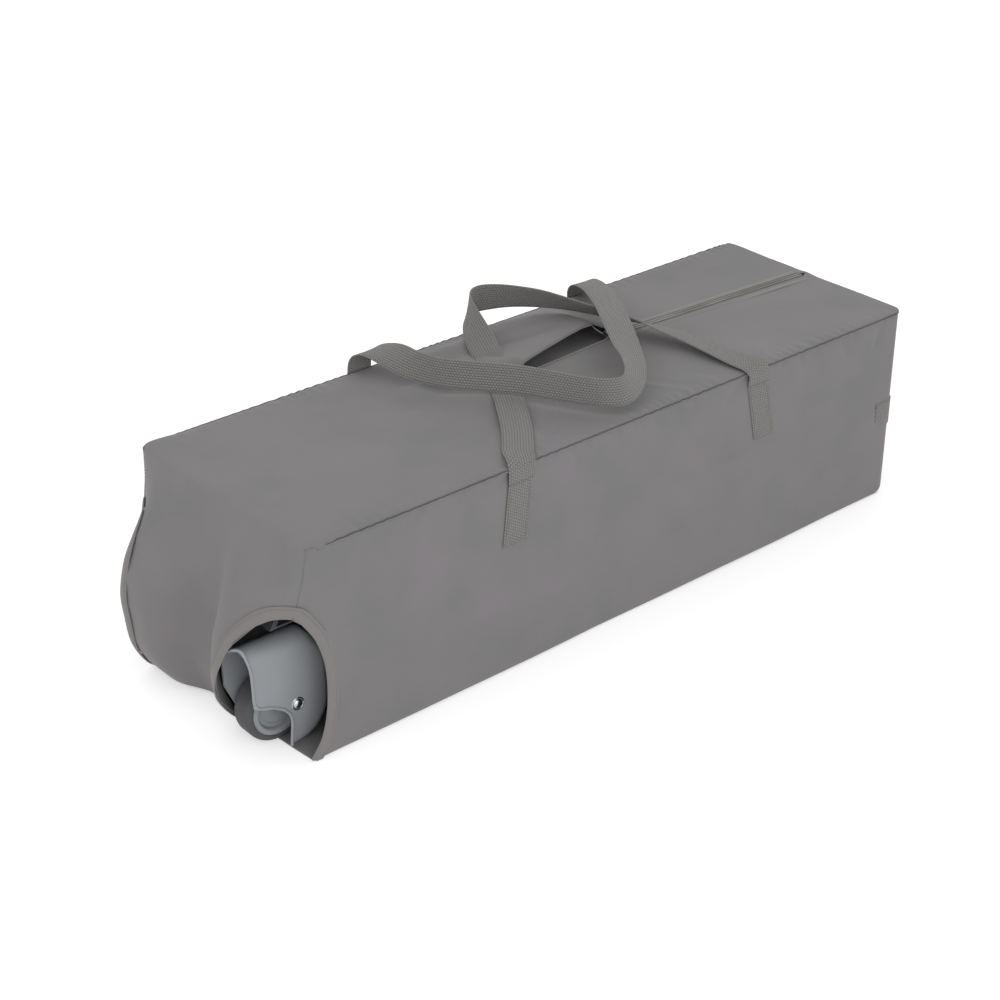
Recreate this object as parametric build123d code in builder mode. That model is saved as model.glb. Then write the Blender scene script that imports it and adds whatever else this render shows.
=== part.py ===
# Travel cot (playpen), folded, in its zipped carry bag.
#
# +X runs along the bag: the cot's wheels are at the -X end, the bag's closed zip runs to the +X end.
# +Y is the far side and +Z is up. The origin is the centre of the bag's bottom face. Millimetres.
#
# From outside in: carry bag with zip and two webbing handles; mattress wrapped round the folded frame;
# four corner posts with top corner caps and feet, eight half rails with four sprung latches, and the
# umbrella base mechanism. Two of the feet carry a hooded wheel that looks out of the bag's corners.
import os
from math import cos, radians, sin

from build123d import *

os.makedirs("parts", exist_ok=True)

# ---------------------------------------------------------------- bag
bag_length = 790.0          # along X at the top face
bag_width = 260.0
bag_height = 222.0
half_l = bag_length / 2
half_w = bag_width / 2
cloth = 1.2                 # thickness of the lined cloth
lobe_depth = 40.0           # how far the cloth swells over each wheel hood
# The wheel end from the floor up: share of the height, distance past the top edge, share of the lobe.
end_profile = ((0, 7, 0.4), (0.23, 12, 0.95), (0.48, 13, 1), (0.7, 9, 0.75), (0.86, 4, 0.35), (1, 0, 0))
bag_corner = 14.0           # rounding of the two upright edges at the zip end
soft_gap = 0.3              # clearance round soft pieces
underside_trim = 4.0        # cut off the lofted form to leave its underside flat
lobe_shoulder = 18.0        # lobes fall away this far in from the bag's sides
lobe_crest = 46.0           # and are fullest from here
lobe_foot = 40.0            # to this far off the middle

cutout_centre_z = 60.0      # the oval corner cut-outs that the wheels look out of
cutout_half_width = 59.0
cutout_half_height = 102.0
cutout_shift = 19.0         # how far each oval sits round on the wheel end
cutout_depth = 97.0
binding_width = 11.0
binding_thick = 0.9

# ---------------------------------------------------------------- webbing
webbing = 30.0
webbing_thick = 1.6
webbing_steps = 3           # smoothing steps from one station to the next
loose_gap = 0.4             # between a loose strap leg and the bag's side
pivot_z = 204.8             # the line where the sewn ends stop and the loops bend up
patch_height = 64.0         # height of the sewn ends
near_patch_x = (-150.0, 168.0)
far_patch_x = (-138.0, 160.0)
near_patch_lean = (-7.0, 14.0)  # how far the sewn ends lean along the bag, top to bottom
far_patch_lean = (0.0, 0.0)

grab_height = 36.0          # webbing grab handle across the zip end
grab_bottom = 85.0
grab_lap = 33.0             # how far its ends are sewn along the bag's sides
grab_slack = 13.0           # finger room behind it

# ---------------------------------------------------------------- zip
zip_turn = 3.45             # degrees by which the zip runs off the long axis
zip_y = 31.0                # where it crosses the middle of the bag
zip_gap = 5.0               # half the gap between the two cloth edges
zip_start = -30.0           # distances along the zip
zip_end = half_l - 11.0
row_start = -27.0           # the rows stop just inside the open end
near_lip = 14.0             # how far the open cloth edges stand off the zip line
far_lip = 16.0
slider_rest = 104.0
slider_length = 10.0
slider_width = 8.4
slider_plate = 1.2
slider_clearance = 0.2
coil_width = 1.9
coil_height = 2.0
coil_slit = 1.8             # left between the two coils for the slider's post
coil_overhang = 0.5         # how far the coil stands past its tape's edge
tape_width = 12.0
tape_thick = 0.8
pull_pin_d = 1.6
pull_pin_rise = 1.6         # pin centre above the slider's top plate
pull_pin_clearance = 0.1
puller_length = 14.0
puller_width = 5.0
puller_thick = 1.3

# ---------------------------------------------------------------- mattress
pad = 24.0                  # panel thickness
pad_side_gap = 6.0          # between the wrapped mattress and the bag's sides
pad_top_gap = 8.0           # and its top, where the zip's slider reaches down
pad_start = -half_l + 125.0
pad_end = half_l - 15.0
pad_width = bag_width - 2 * pad_side_gap
pad_bottom = 3.2
pad_top = bag_height - pad_top_gap
pad_edge = 6.0
strap_width = 38.0          # hook-and-loop straps round the wrapped mattress
strap_thick = 1.5
strap_places = (-120.0, 240.0)

# ---------------------------------------------------------------- frame
post_d = 22.0
tube_wall = 1.2
post_y = pad_width / 2 - pad - 28.0
bundle_z = bag_height / 2   # height of the folded bundle's middle
post_rise = 49.0            # posts above and below it
post_start = -half_l + 45.4
post_end = half_l - 37.0
cap_start = post_end - 20.0     # top corner caps
cap_end = post_end + 20.0
cap_wall = 6.0
fit_clearance = 0.1         # radial, tube in socket
seat_gap = 0.3              # between pieces that butt

rail_d = 18.0
end_rail_y = 26.0           # short rails: side by side, under and over the bundle
end_rail_rise = pad_top - pad - bundle_z - 18.0
side_rail_y = pad_width / 2 - pad - 16.0    # long rails: one over the other, along the bundle's sides
side_rail_rise = 20.0
latch_start = -5.0
latch_end = 45.0
latch_wall = 2.5
rail_insert = 20.0
button_d = 14.0
button_proud = 3.0
button_depth = 7.0
button_travel = 4.0
button_clearance = 0.2

leg_d = 16.0                # umbrella base legs
leg_y = 42.0
leg_rise = 37.0
leg_start = post_start + 5.6
hub_start = 150.0
hub_thick = 30.0
hub_radius = 50.0
hub_socket = 24.0           # how deep the legs sit in the hub's sockets
pull_width = 25.0           # webbing pull on the base hub
pull_reach = 34.0
pull_height = 56.0

bunch_start = -half_l + 95.0    # the cot's fabric sides, bunched between the legs
bunch_edge = 15.0

# ---------------------------------------------------------------- wheels and feet
wheel_x = -half_l - 1.0
wheel_z = 35.0
wheel_d = 69.0
wheel_width = 24.0
wheel_outer_y = post_y + 8.0    # wheels' outer faces from the middle
hub_d = 56.0
hub_rim = 6.0
hub_recess = 4.5
tyre_round = 5.0
axle_d = 8.0
axle_depth = 18.0           # how far the axle runs into the wheel
axle_clearance = 0.08

hood_wall = 2.5
hood_outer_y = post_y + 28.0
hood_inner_y = post_y - 23.0
hood_back_x = wheel_x + 46.0
hood_front_x = wheel_x - 47.0
hood_bottom = 3.0
hood_top = 131.0            # before rounding
hood_inner_top = 97.0       # the hood's roof falls to this at its inner cheek
hood_round = 14.0           # between the roof and the cheeks
hood_back_round = 10.0      # between the outer cheek and the back
notch_x = wheel_x + 1.0     # corner of the notch that shows the wheel's hub
notch_z = 52.0
rivet_x = notch_x + 6.5
rivet_z = 47.0
rivet_head_d = 9.0
rivet_shank_d = 5.0
socket_wall = 2.6
socket_length = 32.0

foot_front_x = wheel_x - 15.0   # plain feet, on the two upper posts
foot_back_x = wheel_x + 51.0
foot_top = bundle_z + post_rise + 26.0
foot_bottom = foot_top - 55.0
foot_outer_y = post_y + 24.0
foot_inner_y = post_y - 26.0
foot_pocket = 14.0
foot_rib = 2.2

# ---------------------------------------------------------------- worked out
bag_end = -half_l
inner_top = bag_height - cloth
leg_face = half_w + loose_gap + webbing_thick / 2       # middle of a loose webbing leg
low_post_z = bundle_z - post_rise
high_post_z = bundle_z + post_rise
slider_top = inner_top + coil_height + slider_clearance + slider_plate
pull_pin_z = slider_top + pull_pin_rise
lobe_sections = (           # places across the bag, and each one's share of the lobes
    (-half_w, 0.1), (lobe_shoulder - half_w, 0.8), (lobe_crest - half_w, 1), (-lobe_foot, 0.95), (0, 0.45),
    (lobe_foot, 0.95), (half_w - lobe_crest, 1), (half_w - lobe_shoulder, 0.8), (half_w, 0.1),
)
zip_dir = Vector(cos(radians(zip_turn)), -sin(radians(zip_turn)), 0)
zip_plane = Plane(origin=(0, zip_y, 0), x_dir=zip_dir, z_dir=(0, 0, 1))
mouth_mid = (zip_start + slider_rest) / 2
mouth_end = slider_rest - slider_length / 2


def finish(solid, name):
    """Label a finished piece and write it."""
    solid.label = name
    export_step(solid, f"parts/{name}.step")


def finish_group(near_solid, name):
    """Write a near-side fastener and its far-side twin as one group of separate solids."""
    finish(Compound(children=[near_solid, near_solid.mirror(Plane.XZ)]), name)


def finish_pair(near_solid, name):
    """Write a near-side piece, and its mirror image as the far-side piece."""
    finish(near_solid, f"{name}_near")
    finish(near_solid.mirror(Plane.XZ), f"{name}_far")


# ================================================================ carry bag
def bag_block(grow):
    """The bag's outer form, grown by a distance.

    A long box whose wheel end swells over the two wheel hoods, with a valley between them. It is
    lofted across the bag through upright sections, each with its own share of the swelling.
    """
    with BuildPart() as block:
        for place, swell in lobe_sections:
            y = place + (grow if place == half_w else -grow if place == -half_w else 0)
            with BuildSketch(Plane.XZ.offset(-y)):
                with BuildLine():
                    end = [
                        (bag_end - grow - lean - share * swell * lobe_depth, rise * bag_height)
                        for rise, lean, share in end_profile
                    ]
                    top_corner = (end[-1][0], bag_height + grow)
                    foot_corner = (end[0][0], -grow)
                    Polyline(top_corner, (half_l + grow, bag_height + grow), (half_l + grow, -grow - underside_trim))
                    Polyline((half_l + grow, -grow - underside_trim), (end[0][0], -grow - underside_trim), foot_corner)
                    Spline(foot_corner, *end[1:-1], top_corner)
                make_face()
        loft()
        plain_end = block.edges().group_by(Axis.X)[-1].group_by(Axis.Y)
        fillet(plain_end[0] + plain_end[-1], radius=bag_corner + grow)
        split(bisect_by=Plane.XY.offset(-grow), keep=Keep.TOP)
    return block.part


def corner_oval(grow):
    """The tool for the near corner's cut-out: an oval bar along the corner's diagonal."""
    corner = Plane(origin=(bag_end - 15, -half_w, 0), x_dir=(1, -1, 0), z_dir=(1, 1, 0))
    with BuildPart() as bar:
        with BuildSketch(corner.offset(-60)):
            with Locations((-cutout_shift, -cutout_centre_z)):
                Ellipse(cutout_half_width + grow, cutout_half_height + grow)
        extrude(amount=60 + cutout_depth)
    return bar.part


bag_outer = bag_block(0)
near_oval = corner_oval(0)
far_oval = near_oval.mirror(Plane.XZ)

with BuildPart() as skin:
    add(bag_outer)
    add(bag_block(-cloth), mode=Mode.SUBTRACT)
    add(near_oval, mode=Mode.SUBTRACT)
    add(far_oval, mode=Mode.SUBTRACT)

# The open mouth of the zip: a leaf between the two cloth edges, left of the slider.
with BuildPart() as mouth:
    with BuildSketch(zip_plane.offset(inner_top - 5)):
        with BuildLine():
            ThreePointArc((zip_start, -zip_gap), (mouth_mid, -near_lip), (mouth_end, -zip_gap))
            Line((mouth_end, -zip_gap), (mouth_end, zip_gap))
            ThreePointArc((mouth_end, zip_gap), (mouth_mid, far_lip), (zip_start, zip_gap))
            Line((zip_start, zip_gap), (zip_start, -zip_gap))
        make_face()
    extrude(amount=20)
    # the narrow gap over the closed rows
    with BuildSketch(zip_plane.offset(inner_top - 5)):
        with Locations(((mouth_end + zip_end) / 2, 0)):
            Rectangle(zip_end - mouth_end + 1, 2 * zip_gap)
    extrude(amount=20)

for side, name in ((-1, "bag_top_near"), (1, "bag_top_far")):
    with BuildPart() as top_panel:
        add(skin.part)
        with Locations(zip_plane.offset(bag_height)):
            with Locations((0, side * bag_width / 2, 0)):
                Box(2 * bag_length, bag_width, 2 * cloth, mode=Mode.INTERSECT)
        add(mouth.part, mode=Mode.SUBTRACT)
    finish(top_panel.part, name)

with BuildPart() as bag_bottom:
    add(skin.part)
    Box(2 * bag_length, 2 * bag_width, 2 * cloth, mode=Mode.INTERSECT)
finish(bag_bottom.part, "bag_bottom")

end_reach = 60.0            # more than the wheel end swells
wall_mid = bag_height / 2
wall_height = bag_height - 2 * cloth
for side, name in ((-1, "bag_side_near"), (1, "bag_side_far")):
    with BuildPart() as side_panel:
        add(skin.part)
        with Locations(((-bag_corner - end_reach) / 2, side * half_w, wall_mid)):
            Box(bag_length - bag_corner + end_reach, 2 * cloth, wall_height, mode=Mode.INTERSECT)
    finish(side_panel.part, name)

end_width = bag_width - 2 * cloth
with BuildPart() as bag_wheel_end:
    add(skin.part)
    with Locations((bag_end, 0, wall_mid)):
        Box(2 * end_reach, end_width, wall_height, mode=Mode.INTERSECT)
finish(bag_wheel_end.part, "bag_wheel_end")

with BuildPart() as bag_zip_end:
    add(skin.part)
    with Locations((half_l, 0, wall_mid)):
        Box(2 * bag_corner, bag_width, wall_height, mode=Mode.INTERSECT)
finish(bag_zip_end.part, "bag_zip_end")

# Binding tape sewn round each cut-out, on the outside of the cloth and clear of the floor.
with BuildPart() as binding:
    add(bag_block(soft_gap + binding_thick))
    add(bag_block(soft_gap), mode=Mode.SUBTRACT)
    add(corner_oval(binding_width), mode=Mode.INTERSECT)
    add(near_oval, mode=Mode.SUBTRACT)
    with Locations((bag_end, -half_w, (bag_height - cloth) / 2 + cloth)):
        Box(2 * end_width, 2 * end_width, bag_height - cloth, mode=Mode.INTERSECT)
finish_pair(binding.part, "cutout_binding")


# ================================================================ zip
def zip_row(side):
    """One zip row: a tape under the cloth edge with its coil along the inner edge."""
    centre = coil_slit / 2 + coil_width / 2
    lip = (near_lip if side < 0 else far_lip) - zip_gap
    with BuildPart() as row:
        for distance, width, base, height in (
            (centre, coil_width, inner_top, coil_height),
            (coil_slit / 2 + coil_overhang + tape_width / 2, tape_width, inner_top - tape_thick, tape_thick),
        ):
            with BuildSketch(zip_plane.offset(base)):
                with BuildLine():
                    ThreePointArc(
                        (row_start, side * distance),
                        (mouth_mid, side * (distance + lip)),
                        (mouth_end, side * distance),
                    )
                    Line((mouth_end, side * distance), (zip_end, side * distance))
                trace(line_width=width)
            extrude(amount=height)
    return row.part


finish(zip_row(-1), "zip_row_near")
finish(zip_row(1), "zip_row_far")

slider_base = inner_top - tape_thick - slider_clearance - slider_plate
with BuildPart() as zip_slider:
    for base in (slider_base, slider_top - slider_plate):
        with BuildSketch(zip_plane.offset(base)):
            with Locations((slider_rest, 0)):
                Trapezoid(slider_length, slider_width, 82, rotation=90)
        extrude(amount=slider_plate)
    with BuildSketch(zip_plane.offset(slider_base)):
        with Locations((slider_rest - slider_length / 4, 0)):
            Rectangle(slider_length / 3, coil_slit - 2 * slider_clearance)
    extrude(amount=slider_top - slider_base)
    # crown: two lugs and the pin that the puller hangs on
    with BuildSketch(zip_plane.offset(slider_top)):
        with Locations((slider_rest, puller_width / 2 + 0.9), (slider_rest, -puller_width / 2 - 0.9)):
            Rectangle(3.4, 1.0)
    extrude(amount=pull_pin_rise + pull_pin_d)
    with Locations(zip_plane.offset(pull_pin_z)):
        with Locations((slider_rest, 0, 0)):
            Cylinder(pull_pin_d / 2, puller_width + 2, rotation=(90, 0, 0))
finish(zip_slider.part, "zip_slider")

with BuildPart() as zip_puller:
    with BuildSketch(zip_plane.offset(pull_pin_z - puller_thick / 2)):
        with Locations((slider_rest + puller_length / 2, 0)):
            RectangleRounded(puller_length, puller_width, 1.6)
        with Locations((slider_rest + puller_length - 3.4, 0)):
            Circle(1.3, mode=Mode.SUBTRACT)
    extrude(amount=puller_thick)
    with Locations(zip_plane.offset(pull_pin_z)):
        with Locations((slider_rest, 0, 0)):
            Cylinder(pull_pin_d / 2 + 0.55, puller_width, rotation=(90, 0, 0))
            Cylinder(pull_pin_d / 2 + pull_pin_clearance, bag_width, rotation=(90, 0, 0), mode=Mode.SUBTRACT)
finish(zip_puller.part, "zip_puller")

# ================================================================ webbing handles
# Each loop is a strip followed from one sewn end to the other. A station gives the middle of the
# strip and the direction across it, from its first edge to its second.
upright = (0, 0, 1)
along = (1, 0, 0)
near_stations = [
    ((near_patch_x[0], -leg_face, pivot_z + 0.2), along),
    ((-150, -leg_face, 214), along),
    ((-149, -131.4, 223), along),
    ((-147, -127, 225.3), along),
    ((-142, -118, 226), along),
    ((-130, -103, 226), (0.97, -0.25, 0)),
    ((-113, -82, 226), (0.9, -0.43, 0)),
    ((-93, -54, 225.8), (0.86, -0.51, 0)),
    ((-73, -23, 225.8), (0.87, -0.49, 0)),
    ((-55, 10, 225.8), (0.88, -0.47, 0)),
    ((-38, 44, 229), (0.88, -0.43, 0.2)),
    ((-25, 74, 235), (0.79, -0.42, 0.44)),
    ((-15, 99, 242), (0.49, -0.44, 0.76)),
    ((-4, 120, 248), (0.14, -0.34, 0.93)),
    ((7, 131, 251), (-0.08, -0.15, 0.99)),
    ((20, 134, 252), upright),
    ((36, 128, 252), (0, -0.12, 0.99)),
    ((54, 117, 251), (-0.1, -0.32, 0.94)),
    ((77, 98, 248), (-0.28, -0.42, 0.86)),
    ((95, 73, 245), (-0.5, -0.45, 0.74)),
    ((111, 43, 241.5), (-0.63, -0.43, 0.65)),
    ((128, 13, 238), (-0.71, -0.46, 0.54)),
    ((143, -14, 233), (-0.88, -0.36, 0.3)),
    ((154, -50, 229), (-0.97, -0.14, 0.18)),
    ((157, -88, 227), (-0.99, 0, 0.1)),
    ((159, -112, 226), (-1, 0, 0)),
    ((163, -127, 225.3), (-1, 0, 0)),
    ((166, -131.4, 223), (-1, 0, 0)),
    ((168, -leg_face, 214), (-1, 0, 0)),
    ((near_patch_x[1], -leg_face, pivot_z + 0.2), (-1, 0, 0)),
]
far_stations = [
    ((far_patch_x[0], leg_face, pivot_z + 0.2), along),
    ((-138, leg_face, 216), along),
    ((-137, 130.6, 230), along),
    ((-135, 126, 239), along),
    ((-131, 116, 244), (0.98, 0.1, 0.1)),
    ((-128, 101, 246), (0.9, 0.1, 0.35)),
    ((-126, 84, 246), (0.7, 0, 0.7)),
    ((-123, 60, 245), (0.35, 0, 0.93)),
    ((-114, 36, 244), (0.15, 0.05, 0.98)),
    ((-98, 13, 243.5), (0.18, 0.1, 0.98)),
    ((-80, -9, 243.5), (0.15, 0.1, 0.98)),
    ((-62, -33, 243.5), (0.13, 0.1, 0.98)),
    ((-48, -60, 243.5), (0.1, 0.1, 0.99)),
    ((-34, -88, 244), upright),
    ((-21, -108, 245), upright),
    ((-4, -116, 246), (-0.13, 0.22, 0.97)),
    ((16, -106, 249), (-0.44, 0.44, 0.78)),
    ((37, -83, 252), (-0.7, 0.52, 0.48)),
    ((54, -56, 254), (-0.84, 0.5, 0.22)),
    ((69, -32, 256), (-0.85, 0.51, 0.1)),
    ((85, -7, 257), (-0.85, 0.52, 0.04)),
    ((103, 20, 256), (-0.85, 0.52, 0)),
    ((122, 50, 253), (-0.86, 0.5, 0)),
    ((140, 81, 248), (-0.9, 0.43, 0)),
    ((151, 106, 243), (-0.97, 0.22, 0)),
    ((156, 121, 237), (-1, 0.05, 0)),
    ((159, 129.6, 228), (-1, 0, 0)),
    ((160, leg_face, 216), (-1, 0, 0)),
    ((far_patch_x[1], leg_face, pivot_z + 0.2), (-1, 0, 0)),
]


def between(values, step):
    """Catmull-Rom blend of four values, between the middle two."""
    a, b, c, d = values
    return 0.5 * (2 * b + (c - a) * step + (2 * a - 5 * b + 4 * c - d) * step**2 + (3 * b - a - 3 * c + d) * step**3)


def webbing_loop(stations):
    """A strip of webbing that follows its stations smoothly, square to its path all the way."""
    middles = [Vector(*middle) for middle, _ in stations]
    acrosses = [Vector(*across).normalized() for _, across in stations]
    last = len(stations) - 1
    path, width = [], []
    for i in range(last):
        around = [max(i - 1, 0), i, i + 1, min(i + 2, last)]
        for step in range(webbing_steps):
            path.append(between([middles[k] for k in around], step / webbing_steps))
            width.append(between([acrosses[k] for k in around], step / webbing_steps))
    path.append(middles[-1])
    width.append(acrosses[-1])
    with BuildPart() as strip:
        for i, (middle, across) in enumerate(zip(path, width)):
            heading = path[min(i + 1, len(path) - 1)] - path[max(i - 1, 0)]
            level_across = across - heading * (across.dot(heading) / heading.dot(heading))
            with BuildSketch(Plane(origin=middle, x_dir=level_across, z_dir=heading)):
                Rectangle(webbing, webbing_thick)
        loft(ruled=True)
    return strip.part


finish(webbing_loop(near_stations), "carry_handle_near")
finish(webbing_loop(far_stations), "carry_handle_far")

with BuildPart() as handle_ends:
    for face, places, leans in ((-half_w, near_patch_x, near_patch_lean), (half_w, far_patch_x, far_patch_lean)):
        for x, lean in zip(places, leans):
            top = pivot_z - seat_gap
            bottom = top - patch_height
            with BuildSketch(Plane.XZ.offset(-face)):
                Polygon(
                    (x - webbing / 2, top),
                    (x + webbing / 2, top),
                    (x + lean + webbing / 2, bottom),
                    (x + lean - webbing / 2, bottom),
                    align=None,
                )
            extrude(amount=webbing_thick if face < 0 else -webbing_thick)
finish(handle_ends.part, "handle_ends")

# The grab handle stands off the zip end between its two sewn ends.
with BuildPart() as end_grab_handle:
    with BuildSketch(Plane.XY.offset(grab_bottom)):
        with BuildLine() as strip_path:
            lap_y = half_w + webbing_thick / 2
            near_lap = Line((half_l - grab_lap, -lap_y), (half_l - bag_corner, -lap_y))
            near_turn = JernArc(near_lap @ 1, (1, 0), bag_corner + webbing_thick / 2, 55)
            far_lap = Line((half_l - grab_lap, lap_y), (half_l - bag_corner, lap_y))
            far_turn = JernArc(far_lap @ 1, (1, 0), bag_corner + webbing_thick / 2, -55)
            Spline(
                near_turn @ 1,
                (half_l + grab_slack, 0),
                far_turn @ 1,
                tangents=(near_turn % 1, (far_turn % 1) * -1),
            )
        trace(line_width=webbing_thick)
    extrude(amount=grab_height)
finish(end_grab_handle.part, "end_grab_handle")

# ================================================================ mattress
pad_length = pad_end - pad_start
pad_mid_x = (pad_start + pad_end) / 2
side_pad_height = pad_top - pad_bottom - 2 * pad - 2 * soft_gap
for name, y, z, width, height in (
    ("mattress_bottom", 0, pad_bottom + pad / 2, pad_width, pad),
    ("mattress_top", 0, pad_top - pad / 2, pad_width, pad),
    ("mattress_side_near", -(pad_width - pad) / 2, (pad_top + pad_bottom) / 2, pad, side_pad_height),
    ("mattress_side_far", (pad_width - pad) / 2, (pad_top + pad_bottom) / 2, pad, side_pad_height),
):
    with BuildPart() as panel:
        with BuildSketch(Plane.YZ.offset(pad_start)):
            with Locations((y, z)):
                RectangleRounded(width, height, pad_edge)
        extrude(amount=pad_length)
    finish(panel.part, name)

with BuildPart() as mattress_straps:
    for place in strap_places:
        with BuildSketch(Plane.YZ.offset(place - strap_width / 2)):
            with Locations((0, (pad_top + pad_bottom) / 2)):
                inner_w = pad_width + 2 * soft_gap
                inner_h = pad_top - pad_bottom + 2 * 0.2
                RectangleRounded(inner_w + 2 * strap_thick, inner_h + 2 * strap_thick, pad_edge + strap_thick)
                RectangleRounded(inner_w, inner_h, pad_edge, mode=Mode.SUBTRACT)
        extrude(amount=strap_width)
finish(mattress_straps.part, "mattress_straps")

# ================================================================ frame
def tube(x_from, x_to, y, z, diameter):
    """A round tube along X."""
    with BuildPart() as pipe:
        with BuildSketch(Plane.YZ.offset(x_from)):
            with Locations((y, z)):
                Circle(diameter / 2)
                Circle(diameter / 2 - tube_wall, mode=Mode.SUBTRACT)
        extrude(amount=x_to - x_from)
    return pipe.part


for z, level in ((low_post_z, "low"), (high_post_z, "high")):
    finish_pair(tube(post_start, post_end, -post_y, z, post_d), f"corner_post_{level}")

# A top corner cap holds its post, and carries the ends of a short and of a long half rail.
pad_inner_y = pad_width / 2 - pad
pad_inner_bottom = pad_bottom + pad
for lean, level in ((-1, "low"), (1, "high")):
    post_z = bundle_z + lean * post_rise
    short_z = bundle_z + lean * end_rail_rise
    long_z = bundle_z + lean * side_rail_rise
    outer_z = pad_inner_bottom + seat_gap if lean < 0 else pad_top - pad - seat_gap
    outer_y = -pad_inner_y + seat_gap
    rail_r = rail_d / 2
    with BuildPart() as cap:
        with BuildSketch(Plane.YZ.offset(cap_start)):
            with BuildLine():
                Polyline(
                    (outer_y, outer_z),
                    (-end_rail_y + rail_r, outer_z),
                    (-end_rail_y + rail_r, short_z - lean * rail_r),
                    (-post_y + post_d / 2 + cap_wall, post_z - lean * (post_d / 2 + cap_wall)),
                    (-side_rail_y + rail_r, long_z - lean * rail_r),
                    (outer_y, long_z - lean * rail_r),
                    close=True,
                )
            make_face()
        extrude(amount=cap_end - cap_start)
        fillet(cap.faces().sort_by(Axis.X)[-1].edges(), radius=5)
        with BuildSketch(Plane.YZ.offset(cap_start)):
            with Locations((-post_y, post_z)):
                Circle(post_d / 2 + fit_clearance)
        extrude(amount=post_end - cap_start + seat_gap, mode=Mode.SUBTRACT)
    finish_pair(cap.part, f"corner_cap_{level}")

# Half rails, folded down beside the posts: one end at the corner cap, the other in the latch.
rail_from = latch_end - rail_insert
rail_to = cap_start - seat_gap
for lean, level in ((-1, "low"), (1, "high")):
    short_half = tube(rail_from, rail_to, -end_rail_y, bundle_z + lean * end_rail_rise, rail_d)
    long_half = tube(rail_from, rail_to, -side_rail_y, bundle_z + lean * side_rail_rise, rail_d)
    finish_pair(short_half, f"short_rail_{level}")
    finish_pair(long_half, f"long_rail_{level}")


# Each latch joins two half rails, and has a sprung release button in its outer face.
def latch(y, z, spread, out):
    """Latch housing and button round (y, z): rails spread to both sides, the button facing out."""
    wide = 2 * spread + rail_d + 2 * latch_wall
    deep = rail_d + 2 * latch_wall
    flat = out[1] != 0
    face = Plane(origin=(0, y + out[0] * deep / 2, z + out[1] * deep / 2), x_dir=(1, 0, 0), z_dir=(0, *out))
    button_x = latch_start + button_d / 2 + 4
    with BuildPart() as housing:
        with BuildSketch(Plane.YZ.offset(latch_start)):
            with Locations((y, z)):
                RectangleRounded(wide if flat else deep, deep if flat else wide, 8)
        extrude(amount=latch_end - latch_start)
        fillet(housing.faces().sort_by(Axis.X)[0].edges(), radius=4)
        with BuildSketch(Plane.YZ.offset(latch_end)):
            with Locations(*[(y + s * spread, z) if flat else (y, z + s * spread) for s in (-1, 1)]):
                Circle(rail_d / 2 + fit_clearance)
        extrude(amount=-rail_insert - seat_gap, mode=Mode.SUBTRACT)
        with BuildSketch(face):
            with Locations((button_x, 0)):
                Circle(button_d / 2 + button_clearance)
        extrude(amount=-(button_depth + button_travel + seat_gap), mode=Mode.SUBTRACT)
    with BuildPart() as button:
        with BuildSketch(face.offset(-button_depth)):
            with Locations((button_x, 0)):
                Circle(button_d / 2)
        extrude(amount=button_depth + button_proud)
        fillet(button.edges().filter_by(GeomType.CIRCLE), radius=1)
    return housing.part, button.part


latches = {
    "long_near": latch(-side_rail_y, bundle_z, side_rail_rise, (-1, 0)),
    "long_far": latch(side_rail_y, bundle_z, side_rail_rise, (1, 0)),
    "short_low": latch(0, bundle_z - end_rail_rise, end_rail_y, (0, -1)),
    "short_high": latch(0, bundle_z + end_rail_rise, end_rail_y, (0, 1)),
}
for name, (housing, button) in latches.items():
    finish(housing, f"latch_{name}")
    finish(button, f"latch_button_{name}")

# ---------------------------------------------------------------- umbrella base
leg_places = [(y, bundle_z + z) for y in (-leg_y, leg_y) for z in (-leg_rise, leg_rise)]
with BuildPart() as base_legs:
    with BuildSketch(Plane.YZ.offset(leg_start)):
        with Locations(*leg_places):
            Circle(leg_d / 2)
            Circle(leg_d / 2 - tube_wall, mode=Mode.SUBTRACT)
    extrude(amount=hub_start + hub_socket - 10 - leg_start)
finish(base_legs.part, "base_legs")

with BuildPart() as base_hub:
    with BuildSketch(Plane.YZ.offset(hub_start)):
        with Locations((0, bundle_z)):
            Circle(hub_radius)
    extrude(amount=hub_thick)
    fillet(base_hub.faces().sort_by(Axis.X)[-1].edges(), radius=6)
    with BuildSketch(Plane.YZ.offset(hub_start - 10)):
        with Locations(*leg_places):
            Circle(leg_d / 2 + socket_wall)
    extrude(amount=hub_thick + 4)
    with BuildSketch(Plane.YZ.offset(hub_start - 10)):
        with Locations(*leg_places):
            Circle(leg_d / 2 + fit_clearance)
    extrude(amount=hub_socket + seat_gap, mode=Mode.SUBTRACT)
finish(base_hub.part, "base_hub")

with BuildPart() as base_pull:
    hub_face = hub_start + hub_thick
    with BuildSketch(Plane.XZ):
        with BuildLine():
            low = (hub_face, bundle_z - pull_height / 2)
            high = (hub_face, bundle_z + pull_height / 2)
            Spline(low, (hub_face + pull_reach, bundle_z), high, tangents=((1, 0.2), (-1, 0.2)))
        trace(line_width=2)
        with Locations((hub_face - 50, bundle_z)):
            Rectangle(100, 2 * pull_height, mode=Mode.SUBTRACT)
    extrude(amount=pull_width / 2, both=True)
finish(base_pull.part, "base_pull_strap")

# The cot's fabric sides and mesh, bunched up between the legs when the frame folds.
with BuildPart() as side_fabric:
    bunch_width = 2 * (leg_y - leg_d / 2) - 1
    bunch_height = 2 * (end_rail_rise - rail_d / 2 - latch_wall) - 1
    with BuildSketch(Plane.YZ.offset(bunch_start)):
        with Locations((0, bundle_z)):
            RectangleRounded(bunch_width, bunch_height, bunch_edge)
    extrude(amount=hub_start - 10 - seat_gap - bunch_start)
    fillet(side_fabric.faces().sort_by(Axis.X)[0].edges(), radius=10)
finish(side_fabric.part, "side_fabric")

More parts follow.
